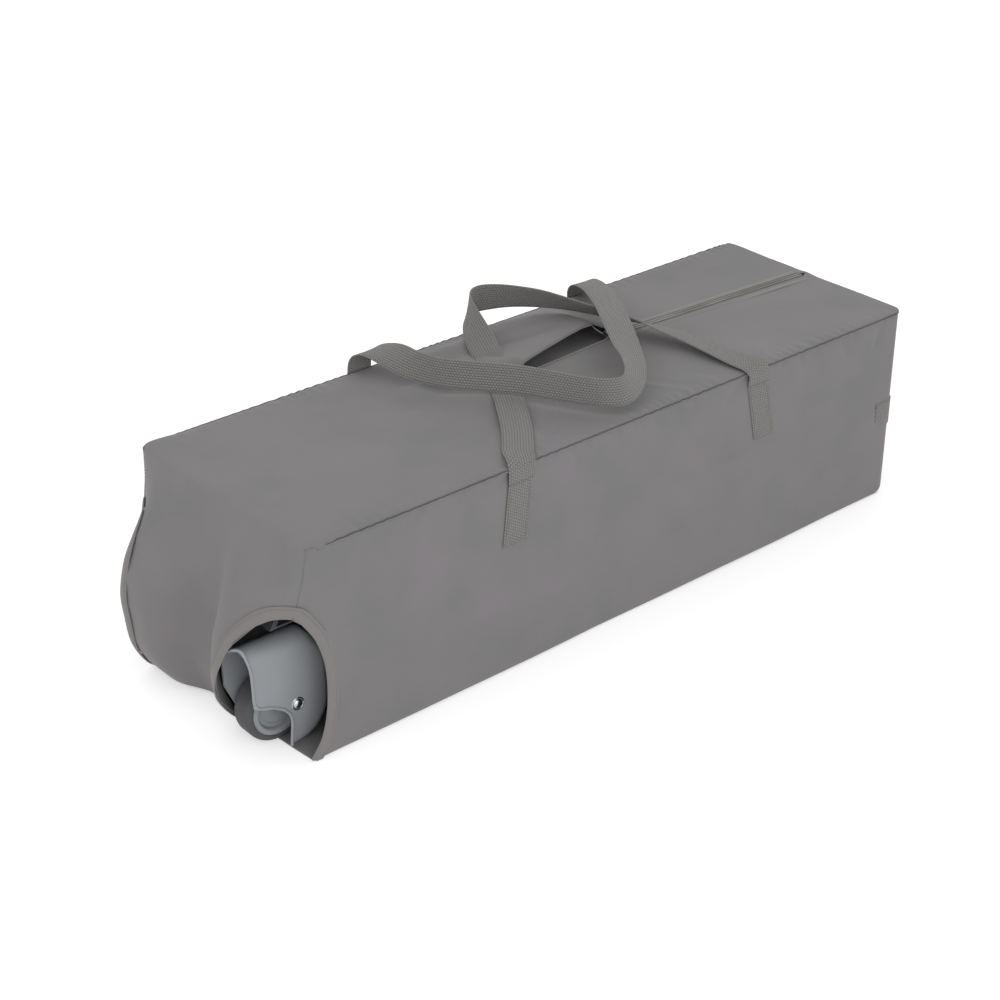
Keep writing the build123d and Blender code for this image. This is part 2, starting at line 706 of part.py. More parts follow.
# ================================================================ wheels
wheel_face_y = -wheel_outer_y
wheel_inner_y = wheel_face_y + wheel_width
spin = Axis((wheel_x, 0, wheel_z), (0, 1, 0))
wheel_section = Plane(origin=(wheel_x, 0, wheel_z), x_dir=(1, 0, 0), z_dir=(0, 0, 1))

with BuildPart() as wheel_hub:
    with BuildSketch(wheel_section):
        with BuildLine():
            r = hub_d / 2
            bottom = wheel_face_y + hub_recess
            Polyline(
                (0, bottom + 1),
                (0, wheel_inner_y),
                (r, wheel_inner_y),
                (r, wheel_face_y + 1),
                (r - 1, wheel_face_y),
                (r - hub_rim + 1, wheel_face_y),
                (r - hub_rim, wheel_face_y + 1),
                (r - hub_rim - 1, bottom),
                (5, bottom),
                (4, bottom + 1),
                close=True,
            )
        make_face()
    revolve(axis=spin)
    # concentric steps in the dished face
    with BuildSketch(Plane.XZ.offset(-bottom)):
        with Locations((wheel_x, wheel_z)):
            for ring in (9, 13, 17):
                Circle(ring + 0.7)
                Circle(ring, mode=Mode.SUBTRACT)
    extrude(amount=0.6)
    with Locations(Plane(origin=(wheel_x, wheel_inner_y, wheel_z), z_dir=(0, 1, 0))):
        Hole(axle_d / 2 + axle_clearance, axle_depth + seat_gap)
finish_pair(wheel_hub.part, "wheel_hub")

with BuildPart() as tyre:
    with BuildSketch(wheel_section):
        with Locations(((hub_d + wheel_d) / 4, wheel_face_y + wheel_width / 2)):
            Rectangle((wheel_d - hub_d) / 2, wheel_width)
    revolve(axis=spin)
    tread = tyre.edges().filter_by(GeomType.CIRCLE).filter_by(lambda e: e.radius > wheel_d / 2 - 0.1)
    fillet(tread, radius=tyre_round)
finish_pair(tyre.part, "tyre")

with BuildPart() as wheel_axle:
    with Locations(Plane(origin=(wheel_x, wheel_inner_y - axle_depth, wheel_z), z_dir=(0, 1, 0))):
        axle_length = wheel_inner_y - axle_depth + hood_inner_y
        Cylinder(axle_d / 2, -axle_length, align=(Align.CENTER, Align.CENTER, Align.MIN))
        with Locations((0, 0, -axle_length)):
            Cylinder(axle_d, 2.5, align=(Align.CENTER, Align.CENTER, Align.MIN))
    fillet(wheel_axle.faces().sort_by(Axis.Y)[-1].edges(), radius=1.2)
finish_group(wheel_axle.part, "wheel_axles")


# ================================================================ wheel hoods
def hood_form(inset):
    """The hood's outer form, or its cavity when inset: a rounded cup, open to the front and below."""
    past = 12 if inset else 0
    front = hood_front_x - past
    low = hood_bottom - past
    back = hood_back_x - inset
    slope = (hood_top - hood_inner_top) / (hood_outer_y - hood_inner_y)
    drop = inset * (1 + slope**2) ** 0.5
    with BuildPart() as form:
        with BuildSketch(Plane.XZ.offset(hood_inner_y + inset)):
            with BuildLine():
                roof = Line((front, hood_top - inset), (hood_front_x + 42, hood_top - 1 - inset))
                Spline(
                    roof @ 1,
                    (hood_back_x - 20 - 0.7 * inset, hood_top - 17 - 0.7 * inset),
                    (back, hood_bottom + 70),
                    tangents=((1, -0.05), (0, -1)),
                )
                Line((back, hood_bottom + 70), (back, hood_bottom + 42))
                Spline(
                    (back, hood_bottom + 42),
                    (hood_back_x - 9 - 0.8 * inset, hood_bottom + 14 + 0.3 * inset),
                    (hood_back_x - 30 - inset, hood_bottom),
                    tangents=((0, -1), (-1, -0.25)),
                )
                if inset:
                    Polyline(
                        (hood_back_x - 30 - inset, hood_bottom),
                        (hood_back_x - 30 - inset, low),
                        (front, low),
                        (front, hood_top - inset),
                    )
                else:
                    Polyline(
                        (hood_back_x - 30, hood_bottom),
                        (notch_x - 3, hood_bottom),
                        (notch_x - 22, hood_bottom + 20),
                        (hood_front_x + 9, notch_z + 8),
                        (hood_front_x + 8, hood_top - 30),
                        (front, hood_top),
                    )
            make_face()
        extrude(amount=hood_outer_y - hood_inner_y - 2 * inset)
        with BuildSketch(Plane.YZ.offset(hood_front_x - 20)) as section:
            with BuildLine():
                Polyline(
                    (-hood_outer_y + inset, low),
                    (-hood_outer_y + inset, hood_top - slope * inset - drop),
                    (-hood_inner_y - inset, hood_inner_top + slope * inset - drop),
                    (-hood_inner_y - inset, low),
                    close=True,
                )
            make_face()
            fillet(section.vertices().sort_by(Axis.Y)[-2:], radius=hood_round - inset)
        extrude(amount=hood_back_x - hood_front_x + 40, mode=Mode.INTERSECT)
    return form.part


def foot_bars(post_z, leg_z, x_from, x_to, leg_from, grow):
    """Two bars along X, on the lines of a corner post and a base leg and larger by a distance all round."""
    with BuildPart() as bars:
        for y, z, diameter, start in ((-post_y, post_z, post_d, x_from), (-leg_y, leg_z, leg_d, leg_from)):
            with BuildSketch(Plane.YZ.offset(start)):
                with Locations((y, z)):
                    Circle(diameter / 2 + grow)
            extrude(amount=x_to - start)
    return bars.part


def foot_sockets(post_z, leg_z, back_x):
    """The sockets' outside, on the back of a foot."""
    return foot_bars(post_z, leg_z, back_x - 2, back_x + socket_length, back_x - 16, socket_wall)


def foot_bores(post_z, leg_z, back_x):
    """The bores that the post and the leg sit in."""
    end = back_x + socket_length
    return foot_bars(post_z, leg_z, post_start - seat_gap, end, leg_start - seat_gap, fit_clearance)


with BuildPart() as hood:
    add(hood_form(0))
    back_corner = hood.edges().filter_by(lambda e: abs(e.center().Y + hood_outer_y) < 0.01)
    fillet(back_corner.filter_by(lambda e: e.center().X > hood_back_x - 12), radius=hood_back_round)
    add(hood_form(hood_wall), mode=Mode.SUBTRACT)
    # the notch in the outer cheek that shows the wheel's hub
    with BuildSketch(Plane.XZ.offset(hood_outer_y - 12)):
        with BuildLine():
            Polyline((hood_front_x - 10, -20), (hood_front_x - 10, notch_z + 8), (hood_front_x + 12, notch_z + 8))
            Spline(
                (hood_front_x + 12, notch_z + 8),
                (notch_x - 16, notch_z),
                (notch_x, notch_z - 18),
                tangents=((0.6, -1), (0.1, -1)),
            )
            Polyline((notch_x, notch_z - 18), (notch_x - 3, -20), (hood_front_x - 10, -20))
        make_face()
    extrude(amount=20, mode=Mode.SUBTRACT)
    # boss behind the rivet
    with Locations(Plane(origin=(rivet_x, -hood_outer_y + hood_wall, rivet_z), z_dir=(0, 1, 0))):
        Cylinder(rivet_shank_d + 1, hood_outer_y - wheel_outer_y - 6, align=(Align.CENTER, Align.CENTER, Align.MIN))
    with Locations(Plane(origin=(rivet_x, -hood_outer_y, rivet_z), z_dir=(0, -1, 0))):
        Hole(rivet_shank_d / 2 + fit_clearance, 2 * hood_wall + 12)
    with Locations(Plane(origin=(wheel_x, -hood_inner_y, wheel_z), z_dir=(0, 1, 0))):
        Hole(axle_d / 2, 2 * hood_wall)
    add(foot_sockets(low_post_z, bundle_z - leg_rise, hood_back_x))
    add(foot_bores(low_post_z, bundle_z - leg_rise, hood_back_x), mode=Mode.SUBTRACT)
finish_pair(hood.part, "wheel_hood")

with BuildPart() as rivet:
    with Locations(Plane(origin=(rivet_x, -hood_outer_y, rivet_z), z_dir=(0, -1, 0))):
        Cylinder(rivet_head_d / 2, 1.6, align=(Align.CENTER, Align.CENTER, Align.MIN))
    fillet(rivet.faces().sort_by(Axis.Y)[0].edges(), radius=1.5)
    with Locations(Plane(origin=(rivet_x, -hood_outer_y, rivet_z), z_dir=(0, 1, 0))):
        Cylinder(rivet_shank_d / 2, 12, align=(Align.CENTER, Align.CENTER, Align.MIN))
finish_group(rivet.part, "hood_rivets")

# ================================================================ plain feet
with BuildPart() as plain_foot:
    with BuildSketch(Plane.XZ.offset(foot_inner_y)) as foot_side:
        with BuildLine():
            Polyline(
                (foot_back_x, foot_bottom),
                (foot_front_x, foot_bottom),
                (foot_front_x + 20, foot_top - 20),
                (foot_front_x + 23, foot_top),
                (foot_back_x, foot_top),
                close=True,
            )
        make_face()
    extrude(amount=foot_outer_y - foot_inner_y)
    # the outer face is hollow, with a truss of ribs
    with BuildSketch(Plane.XZ.offset(foot_outer_y)):
        with BuildLine():
            Polyline(
                (foot_back_x, foot_bottom),
                (foot_front_x, foot_bottom),
                (foot_front_x + 20, foot_top - 20),
                (foot_front_x + 23, foot_top),
                (foot_back_x, foot_top),
                close=True,
            )
        make_face()
        offset(amount=-foot_rib)
        with BuildLine():
            rib_low = foot_bottom
            rib_high = foot_bottom + 20
            Polyline(*[(foot_front_x + 4 + 13 * i, rib_high if i % 2 else rib_low) for i in range(6)])
        trace(line_width=foot_rib, mode=Mode.SUBTRACT)
        with BuildLine():
            Line((foot_front_x, rib_high), (foot_back_x, rib_high))
        trace(line_width=foot_rib, mode=Mode.SUBTRACT)
        with BuildLine():
            Line((foot_front_x + 30, rib_high), (foot_back_x, foot_top))
        trace(line_width=foot_rib, mode=Mode.SUBTRACT)
    extrude(amount=-foot_pocket, mode=Mode.SUBTRACT)
    add(foot_sockets(high_post_z, bundle_z + leg_rise, foot_back_x))
    add(foot_bores(high_post_z, bundle_z + leg_rise, foot_back_x), mode=Mode.SUBTRACT)
finish_pair(plain_foot.part, "plain_foot")
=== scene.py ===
"""Looks of a folded travel cot in its zipped carry bag: sewn cloth, webbing handles, zip and hooded wheels.

Lengths are in millimetres, in the frame of the CAD model: +X along the bag away from the wheels, +Y to
the far side and +Z up from the floor. Each surface is turned to metres when its mesh is made.
"""
from math import pi, radians, tan

import bpy
import numpy as np
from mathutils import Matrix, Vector


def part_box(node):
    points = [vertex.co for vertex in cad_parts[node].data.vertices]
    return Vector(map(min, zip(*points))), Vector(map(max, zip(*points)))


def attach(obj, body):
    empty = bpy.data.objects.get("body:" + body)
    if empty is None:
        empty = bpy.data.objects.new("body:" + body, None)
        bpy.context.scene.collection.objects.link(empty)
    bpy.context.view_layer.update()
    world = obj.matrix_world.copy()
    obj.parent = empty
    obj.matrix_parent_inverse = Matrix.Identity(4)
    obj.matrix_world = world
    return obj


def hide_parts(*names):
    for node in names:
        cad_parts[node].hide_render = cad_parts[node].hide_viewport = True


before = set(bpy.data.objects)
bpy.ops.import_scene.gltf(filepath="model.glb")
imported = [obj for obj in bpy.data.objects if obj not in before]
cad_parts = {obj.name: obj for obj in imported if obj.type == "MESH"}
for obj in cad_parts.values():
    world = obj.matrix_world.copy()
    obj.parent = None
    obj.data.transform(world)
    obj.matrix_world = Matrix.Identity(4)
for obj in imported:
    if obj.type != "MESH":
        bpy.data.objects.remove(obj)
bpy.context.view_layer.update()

# ---- sizes
HALF_LENGTH = 395.0
HALF_WIDTH = 130.0
HEIGHT = 222.0
CORNER = 14.0               # round upright corners of the zip end
STRAIGHT = HALF_LENGTH - CORNER
END_STRAIGHT = HALF_WIDTH - CORNER
CLOTH = 1.2
FOOT_TURN = 3.5             # the sides draw in this much where they meet the base
FLOOR_GAP = 0.6             # the cloth's lowest edge stands this far off the floor
TOP_SEAM_Z = HEIGHT - 2.5   # the sewn line under the top's edges

WEBBING = 30.0
WEBBING_THICK = 1.6
SIDE_GAP = 1.2              # webbing's middle to the bag's side where it is loose
PIVOT_Z = 204.8             # where the sewn ends stop and the loops bend up
PATCH_HEIGHT = 64.0
GRAB_Z = 103.0              # middle of the grab handle at the zip end

BINDING = 11.0              # width of the tape round the wheel cut-outs
SEWN_ROW = 3.3              # from the binding's middle to its row of stitches
STITCH = 2.2
STITCH_PITCH = 3.3
SIDES = ((-1, "near"), (1, "far"))

ZIP_TURN = tan(radians(3.45))
ZIP_Y = 31.0                # where the zip crosses the middle of the bag
ZIP_END = 384.0
ZIP_TAPE = 12.0             # width of the tape that carries each coil
TAPE_OUT = 7.6              # from the zip's middle to the middle of each tape
TOOTH_PITCH = 1.6
ZIP_OPEN = 4.9              # from the zip's middle to each cloth edge, so that the slider can pass
COIL_OUT = 1.85             # from the zip's middle to the middle of each coil
COIL_Z = 221.8
MATTRESS_SEAM = 110.0       # between the sewn channels across the mattress


# ---- small tools
def blur(values, reach, axis=0):
    """Weighted mean with neighbours along one axis, weights falling as a bell curve; ends repeat."""
    steps = np.arange(-3 * reach, 3 * reach + 1)
    weights = np.exp(-0.5 * (steps / reach) ** 2)
    weights /= weights.sum()
    padding = [(0, 0)] * values.ndim
    padding[axis] = (3 * reach, 3 * reach)
    padded = np.pad(values, padding, mode="edge")
    length = values.shape[axis]
    shifted = [np.take(padded, range(i, i + length), axis) * w for i, w in enumerate(weights)]
    return np.sum(shifted, axis=0)


def smooth_path(points, pitch):
    """Catmull-Rom curve through the points, sampled about every pitch millimetres by arc length."""
    p = np.asarray(points, float)
    ends = np.vstack([2 * p[0] - p[1], p, 2 * p[-1] - p[-2]])
    t = np.linspace(0, 1, 24, endpoint=False)[:, None]
    spans = [0.5 * (2 * b + (c - a) * t + (2 * a - 5 * b + 4 * c - d) * t**2 + (3 * b - a - 3 * c + d) * t**3)
             for a, b, c, d in zip(ends, ends[1:], ends[2:], ends[3:])]
    dense = np.vstack(spans + [p[-1:]])
    run = run_along(dense[:, :3])
    count = max(2, int(run[-1] / pitch) + 1)
    at = np.linspace(0, run[-1], count)
    return np.stack([np.interp(at, run, dense[:, k]) for k in range(dense.shape[1])], 1)


def run_along(points):
    """Distance travelled along a row of points."""
    return np.r_[0, np.cumsum(np.linalg.norm(np.diff(points, axis=0), axis=1))]


def unit(vectors):
    """The same directions, each of length one."""
    return vectors / np.linalg.norm(vectors, axis=-1, keepdims=True)


def heading_of(path):
    """Direction of travel at each point of a path."""
    return unit(np.gradient(path, axis=0))


def bell(distance, width):
    """1 in the middle, falling as exp(-(distance / width) squared)."""
    return np.exp(-((distance / width) ** 2))


def past(value, start, length):
    """0 up to the start, then a straight rise to 1 over the length."""
    return np.clip((value - start) / length, 0, 1)


def soft_step(share):
    """A straight share from 0 to 1 made to start and end level: 3 s squared less 2 s cubed."""
    return share * share * (3 - 2 * share)


def grid_faces(rows, columns, wrap=False, flip=False):
    """Quads of a grid of rows by columns, its last column joined to the first when it wraps."""
    r = np.arange(rows - 1)[:, None]
    c = np.arange(columns if wrap else columns - 1)[None, :]
    d = (c + 1) % columns
    low, high = r * columns, (r + 1) * columns
    quads = np.stack([low + c, low + d, high + d, high + c], -1).reshape(-1, 4)
    return quads[:, ::-1] if flip else quads


def tube_faces(rows, columns):
    """Faces of a closed tube of rows by columns, with a flat cap at each end."""
    last = (rows - 1) * columns
    caps = [list(range(columns))[::-1], list(range(last, last + columns))]
    return grid_faces(rows, columns, wrap=True).tolist() + caps


def place_object(name, data):
    """Puts a mesh, lamp or camera in the scene, at the origin."""
    thing = bpy.data.objects.new(name, data)
    bpy.context.scene.collection.objects.link(thing)
    return thing


def polygon_values(mesh, name, width):
    """One of the values that a mesh keeps for its faces, as an array."""
    values = np.empty((len(mesh.polygons), width))
    mesh.polygons.foreach_get(name, values.ravel())
    return values


def make_piece(name, points, faces, body, material, slot, nodes=(), weave=None):
    """One mesh object from points in millimetres; weave gives each point its place on the cloth in metres.

    Its faces point outwards: they are all turned over if the sum of area times the way each one faces
    from the bag's middle is below nothing. For a closed mesh that sum is three times its volume.
    """
    mesh = bpy.data.meshes.new(name)
    mesh.from_pydata((np.asarray(points, float) / 1000).tolist(), [], [list(face) for face in faces])
    mesh.polygons.foreach_set("use_smooth", np.ones(len(mesh.polygons), bool))
    from_middle = polygon_values(mesh, "center", 3) - (0, 0, HEIGHT / 2000)
    if np.sum(polygon_values(mesh, "area", 1) * polygon_values(mesh, "normal", 3) * from_middle) < 0:
        mesh.flip_normals()
    if weave is not None:
        corners = np.empty(len(mesh.loops), int)
        mesh.loops.foreach_get("vertex_index", corners)
        layer = mesh.uv_layers.new(name="weave")
        layer.data.foreach_set("uv", np.asarray(weave, float)[corners].ravel())
    mesh.update()
    piece = place_object(name, mesh)
    mesh.materials.append(material)
    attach(piece, body)
    if nodes:
        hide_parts(*nodes)
    return piece


def carry_profile(path, across, out, profile):
    """A closed profile carried along a path: its point (b, n) goes to path + b * across + n * out."""
    points = path[:, None] + profile[:, :1] * across[:, None] + profile[:, 1:] * out[:, None]
    return points.reshape(-1, 3), tube_faces(*points.shape[:2])


def circle(radius, count):
    """Profile of a round cord: points evenly spaced on a circle."""
    angle = np.arange(count) * 2 * pi / count
    return np.stack([radius * np.cos(angle), radius * np.sin(angle)], 1)


# ---- materials
def linear(code):
    """sRGB hex to the linear colour that a shader reads."""
    values = np.array([int(code[i:i + 2], 16) for i in (0, 2, 4)]) / 255
    values = np.where(values <= 0.04045, values / 12.92, ((values + 0.055) / 1.055) ** 2.4)
    return (*values.tolist(), 1.0)


def set_inputs(node, inputs):
    """Fills or links a shader node's inputs."""
    for name, value in inputs.items():
        if isinstance(value, bpy.types.NodeSocket):
            node.id_data.links.new(value, node.inputs[name])
        else:
            node.inputs[name].default_value = value


def add_node(tree, kind, inputs=None, **settings):
    """Adds a shader node, sets its properties, and fills or links its inputs."""
    made = tree.nodes.new("ShaderNode" + kind)
    for name, value in settings.items():
        setattr(made, name, value)
    set_inputs(made, inputs or {})
    return made


def start_material(name, inputs):
    """A material with its shader: the settings that are the same all over sit on the shader's own sockets."""
    material = bpy.data.materials.new(name)
    material.use_nodes = True
    shader = material.node_tree.nodes["Principled BSDF"]
    set_inputs(shader, inputs)
    return material, material.node_tree, shader


def finish_surface(tree, shader, colour, height, strength, distance):
    """Gives a material its colour and its relief, whose depth is in millimetres."""
    bump = add_node(tree, "Bump", {"Height": height, "Strength": strength, "Distance": distance / 1000})
    set_inputs(shader, {"Base Color": colour, "Normal": bump.outputs["Normal"]})


def mottle(tree, coords, size, light, dark):
    """Two close colours mixed by a soft noise of about that size in millimetres."""
    noise = add_node(tree, "TexNoise", {"Vector": coords, "Scale": 1000 / size, "Detail": 3.0})
    ramp = add_node(tree, "ValToRGB", {"Fac": noise.outputs["Fac"]})
    ramp.color_ramp.elements[0].position = 0.35
    ramp.color_ramp.elements[0].color = linear(dark)
    ramp.color_ramp.elements[1].position = 0.65
    ramp.color_ramp.elements[1].color = linear(light)
    return ramp.outputs["Color"]


def woven_polyester(name, light, dark):
    """Plain-woven polyester with a soft coating: matt, faintly mottled, with a barely seen thread grain.

    The threads are 0.3 mm apart in such cloth; they are drawn 1 mm apart so that they show.
    """
    material, tree, shader = start_material(name, {"Roughness": 0.72, "Sheen Weight": 0.15})
    place = add_node(tree, "TexCoord").outputs["Object"]
    shade = add_node(tree, "TexNoise", {"Vector": place, "Scale": 1000 / 1.0, "Detail": 2.0})
    slub = add_node(tree, "TexNoise", {"Vector": place, "Scale": 1000 / 9.0, "Detail": 4.0})
    sum_up = add_node(tree, "Math", {0: shade.outputs["Fac"], 1: slub.outputs["Fac"]}, operation="ADD")
    finish_surface(tree, shader, mottle(tree, place, 60, light, dark), sum_up.outputs[0], 0.35, 0.35)
    return material


def webbing_weave(name, light, dark, column, pick, depth):
    """Woven tape or webbing: columns of small beads, each column shifted by half a bead from the next.

    The height is the root of |sin(pi u / column)| times |sin(pi (v / pick + half a bead))|, u across and
    v along the tape. The colour follows the height, so the gaps between the beads are painted darker:
    painted shade in the hollows of the weave. The beads are about 2 mm apart in such webbing and half a
    millimetre in the narrow tapes, and both are drawn coarser so that they show.
    """
    material, tree, shader = start_material(name, {"Roughness": 0.78, "Sheen Weight": 0.25})
    place = add_node(tree, "UVMap", uv_map="weave")
    split = add_node(tree, "SeparateXYZ", {0: place.outputs["UV"]})
    across = add_node(tree, "Math", {0: split.outputs["X"], 1: column / 1000}, operation="DIVIDE")
    row = add_node(tree, "Math", {0: across.outputs[0]}, operation="FLOOR")
    picks = add_node(tree, "Math", {0: split.outputs["Y"], 1: pick / 1000}, operation="DIVIDE")
    along = add_node(tree, "Math", {0: row.outputs[0], 1: 0.5, 2: picks.outputs[0]}, operation="MULTIPLY_ADD")
    height = 1.0
    for turns in (across, along):
        angle = add_node(tree, "Math", {0: turns.outputs[0], 1: pi}, operation="MULTIPLY")
        wave = add_node(tree, "Math", {0: angle.outputs[0]}, operation="SINE")
        swell = add_node(tree, "Math", {0: wave.outputs[0]}, operation="ABSOLUTE")
        height = add_node(tree, "Math", {0: swell.outputs[0], 1: height}, operation="MULTIPLY").outputs[0]
    height = add_node(tree, "Math", {0: height, 1: 0.5}, operation="POWER").outputs[0]
    # Painted shade: the colour follows the height, dark in the gaps between the beads.
    ramp = add_node(tree, "ValToRGB", {"Fac": height})
    ramp.color_ramp.elements[0].color = linear(dark)
    ramp.color_ramp.elements[1].color = linear(light)
    ramp.color_ramp.elements[1].position = 0.75
    finish_surface(tree, shader, ramp.outputs["Color"], height, 0.9, depth)
    return material


def moulded_plastic(name, light, dark, roughness=0.42, grain=0.8):
    """Moulded plastic or rubber, or baked paint: satin, with a fine grain and hardly any colour change.

    The real grain is about 0.2 mm across and is drawn 0.8 mm or more so that it shows.
    """
    material, tree, shader = start_material(name, {"Roughness": roughness})
    place = add_node(tree, "TexCoord").outputs["Object"]
    grit = add_node(tree, "TexNoise", {"Vector": place, "Scale": 1000 / grain, "Detail": 2.0})
    finish_surface(tree, shader, mottle(tree, place, 45, light, dark), grit.outputs["Fac"], 0.2, 0.1)
    return material


def metal(name, colour, worn, roughness):
    """Plated metal: smooth, with faint cloudy wear in the plating."""
    material, tree, shader = start_material(name, {"Roughness": roughness, "Metallic": 1.0})
    place = add_node(tree, "TexCoord").outputs["Object"]
    set_inputs(shader, {"Base Color": mottle(tree, place, 3.0, colour, worn)})
    return material


# Bag cloth, woven and coated: soft and matt, a warm grey with barely a change in it.
cloth = woven_polyester("coated_polyester_cloth", "7F7B7E", "797878")
# Ribbed tape folded over the cut edge: a finer, slightly paler grain than the cloth's, with faint painted
# shade between its ribs.
binding_tape = webbing_weave("ribbed_binding_tape", "84807F", "767373", column=0.9, pick=0.9, depth=0.12)
# Heavy loom-woven webbing: pale beads, with painted shade in the gaps between them.
webbing = webbing_weave("polyester_webbing", "888583", "4F4E4D", column=2.6, pick=3.0, depth=0.9)
# Dark cord deep in a seam: painted shade that draws the seam's dark line in its groove.
seam_shadow = woven_polyester("seam_painted_shade_cord", "4F4D4D", "474545")
# Twisted thread on the surface: short pale dashes.
thread = woven_polyester("sewing_thread", "8E8B88", "827F7C")
# Drawn nylon coil and its close-woven tape: two pale lines with a silky shine, and faint painted shade in the
# tape's weave.
zip_nylon = moulded_plastic("nylon_zip_coil", "A5A39E", "8B8984", roughness=0.5)
zip_tape = webbing_weave("woven_zip_tape", "8A8884", "767470", column=0.8, pick=0.8, depth=0.1)
# Die-cast zinc, nickel-plated: a soft grey shine.
zip_metal = metal("nickel_plated_zinc", "9A9A9C", "858587", 0.35)
# Moulded polypropylene: satin cool grey on the hoods and hubs, dark on hidden fittings.
hood_plastic = moulded_plastic("grey_polypropylene", "989B9F", "94979B")
dark_plastic = moulded_plastic("dark_polypropylene", "4B4C4E", "424345", roughness=0.5)
# Moulded acetal: a satin, waxy red.
button_plastic = moulded_plastic("red_acetal", "A8483C", "9C4036")
# Moulded soft rubber: nearly black, dull and coarser.
tyre_rubber = moulded_plastic("soft_tyre_rubber", "545456", "48484A", roughness=0.75, grain=1.5)
# Steel tube under baked powder paint: smooth, a little glossier than the plastics.
tube_paint = moulded_plastic("powder_coated_tube", "77797D", "707276", roughness=0.38)
# Headed steel, bright-plated: a small sharp highlight inside a dark ring.
rivet_steel = metal("bright_plated_rivet", "D2D5D8", "B5B8BB", 0.18)
# Fabrics in the bag: dark knitted sides, a paler mattress cover, nearly black hook-and-loop.
mesh_fabric = woven_polyester("cot_side_fabric", "5E5E62", "545458")
mattress_cover = woven_polyester("mattress_cover_fabric", "8B8A8C", "7F7E80")
hook_tape = woven_polyester("hook_and_loop_tape", "3B3C3F", "323336")


# ---- the bag's form
# The wheel end: how far the cloth stands past the top edge at each height, between and on the lobes
# that it makes over the two wheel hoods.
END_Z = (0, 4, 20, 37, 50, 70, 91, 118, 150, 170, 190, 205, 222)
END_BETWEEN = (3, 8, 15, 21, 24, 25, 23, 19, 14, 9, 4, 2, 0)
END_LOBE_NEAR = (18, 26, 38, 47, 51, 54, 56, 52, 36, 27, 12, 5, 0)
END_LOBE_FAR = (18, 26, 38, 47, 51, 53, 55, 52, 33, 15, 7, 3, 0)
LOBE_Y = 76.0
LOBE_WIDTH = 43.0

# Edge of each wheel cut-out: along the bag's side (x, z) and round onto its end (y, z).
CUT_TOP = 158
NEAR_SIDE_CUT = ((-394, 0), (-384, 22), (-377, 48), (-375, 76), (-377, 103), (-385, 127), (-396, 146),
                 (-409, CUT_TOP))
FAR_SIDE_CUT = ((-394, 0), (-384, 22), (-377, 48), (-375, 76), (-376, 103), (-380, 127), (-387, 146),
                (-398, CUT_TOP))
NEAR_CUT = ((-130, CUT_TOP), (-117, 157), (-102, 147), (-84, 125), (-71, 100), (-61, 78), (-51, 56),
            (-41, 34), (-35, 16), (-33, 0))
FAR_CUT = ((130, CUT_TOP), (117, 156), (105, 143), (97, 124), (92, 100), (91, 72), (93, 42),
           (98, 18), (104, 0))
SEAM_Y = 127.1              # the upright seams over the cut-outs, from the middle

# Edges of the bag's mouth and how high the far flap stands there.
MOUTH_X = (-38, -20, -3, 17, 55, 80, 96, 106, 116, 130)
NEAR_LIP = (8, 10.5, 11.8, 12.4, 15.6, 17.8, 18.9, 19.6, 19.4, 18.3)
FAR_LIP = (8, 13, 17.5, 22.5, 32, 37, 38, 33, 29.2, 28.0)
FLAP_RISE = (12.5, 13.2, 13.6, 13.8, 14, 14, 13, 8, 4, 1)

# Folds in the cloth on top: from x, y, to x, y, width and height.
TOP_FOLDS = (
    (-138, 60, -60, 28, 9, 4.5), (-150, 78, -150, 20, 16, -4.5), (-110, 16, -40, -28, 12, 2.5),
    (-95, 118, 60, 84, 14, 3.0), (-60, 88, 70, 60, 13, -3.5), (-42, 8, -180, -30, 22, 2.5),
    (40, -60, 76, -122, 4, 1.1), (48, -52, 92, -120, 5, -1.0), (-165, -128, -120, -70, 12, 1.8),
    (-200, -40, -330, -60, 40, 1.6), (150, -40, 330, -70, 45, -2.0), (120, 12, 300, -10, 18, 1.5),
    (-128, -126, -96, -84, 6, 1.5), (-112, -126, -70, -92, 5, -1.2), (182, -126, 214, -90, 7, 1.3),
    (134, -126, 112, -98, 6, -1.2), (-250, -110, -170, -60, 16, 1.4), (-40, -20, 60, -34, 10, -1.8),
    (10, 8, 90, -8, 8, 1.6), (150, 60, 370, 92, 40, -2.5), (-240, 60, -380, 30, 50, -2.5),
    (-106, -90, -98, -127, 4, 1.8), (-99, -86, -84, -126, 4, 1.5), (176, -96, 168, -126, 5, 1.4),
)
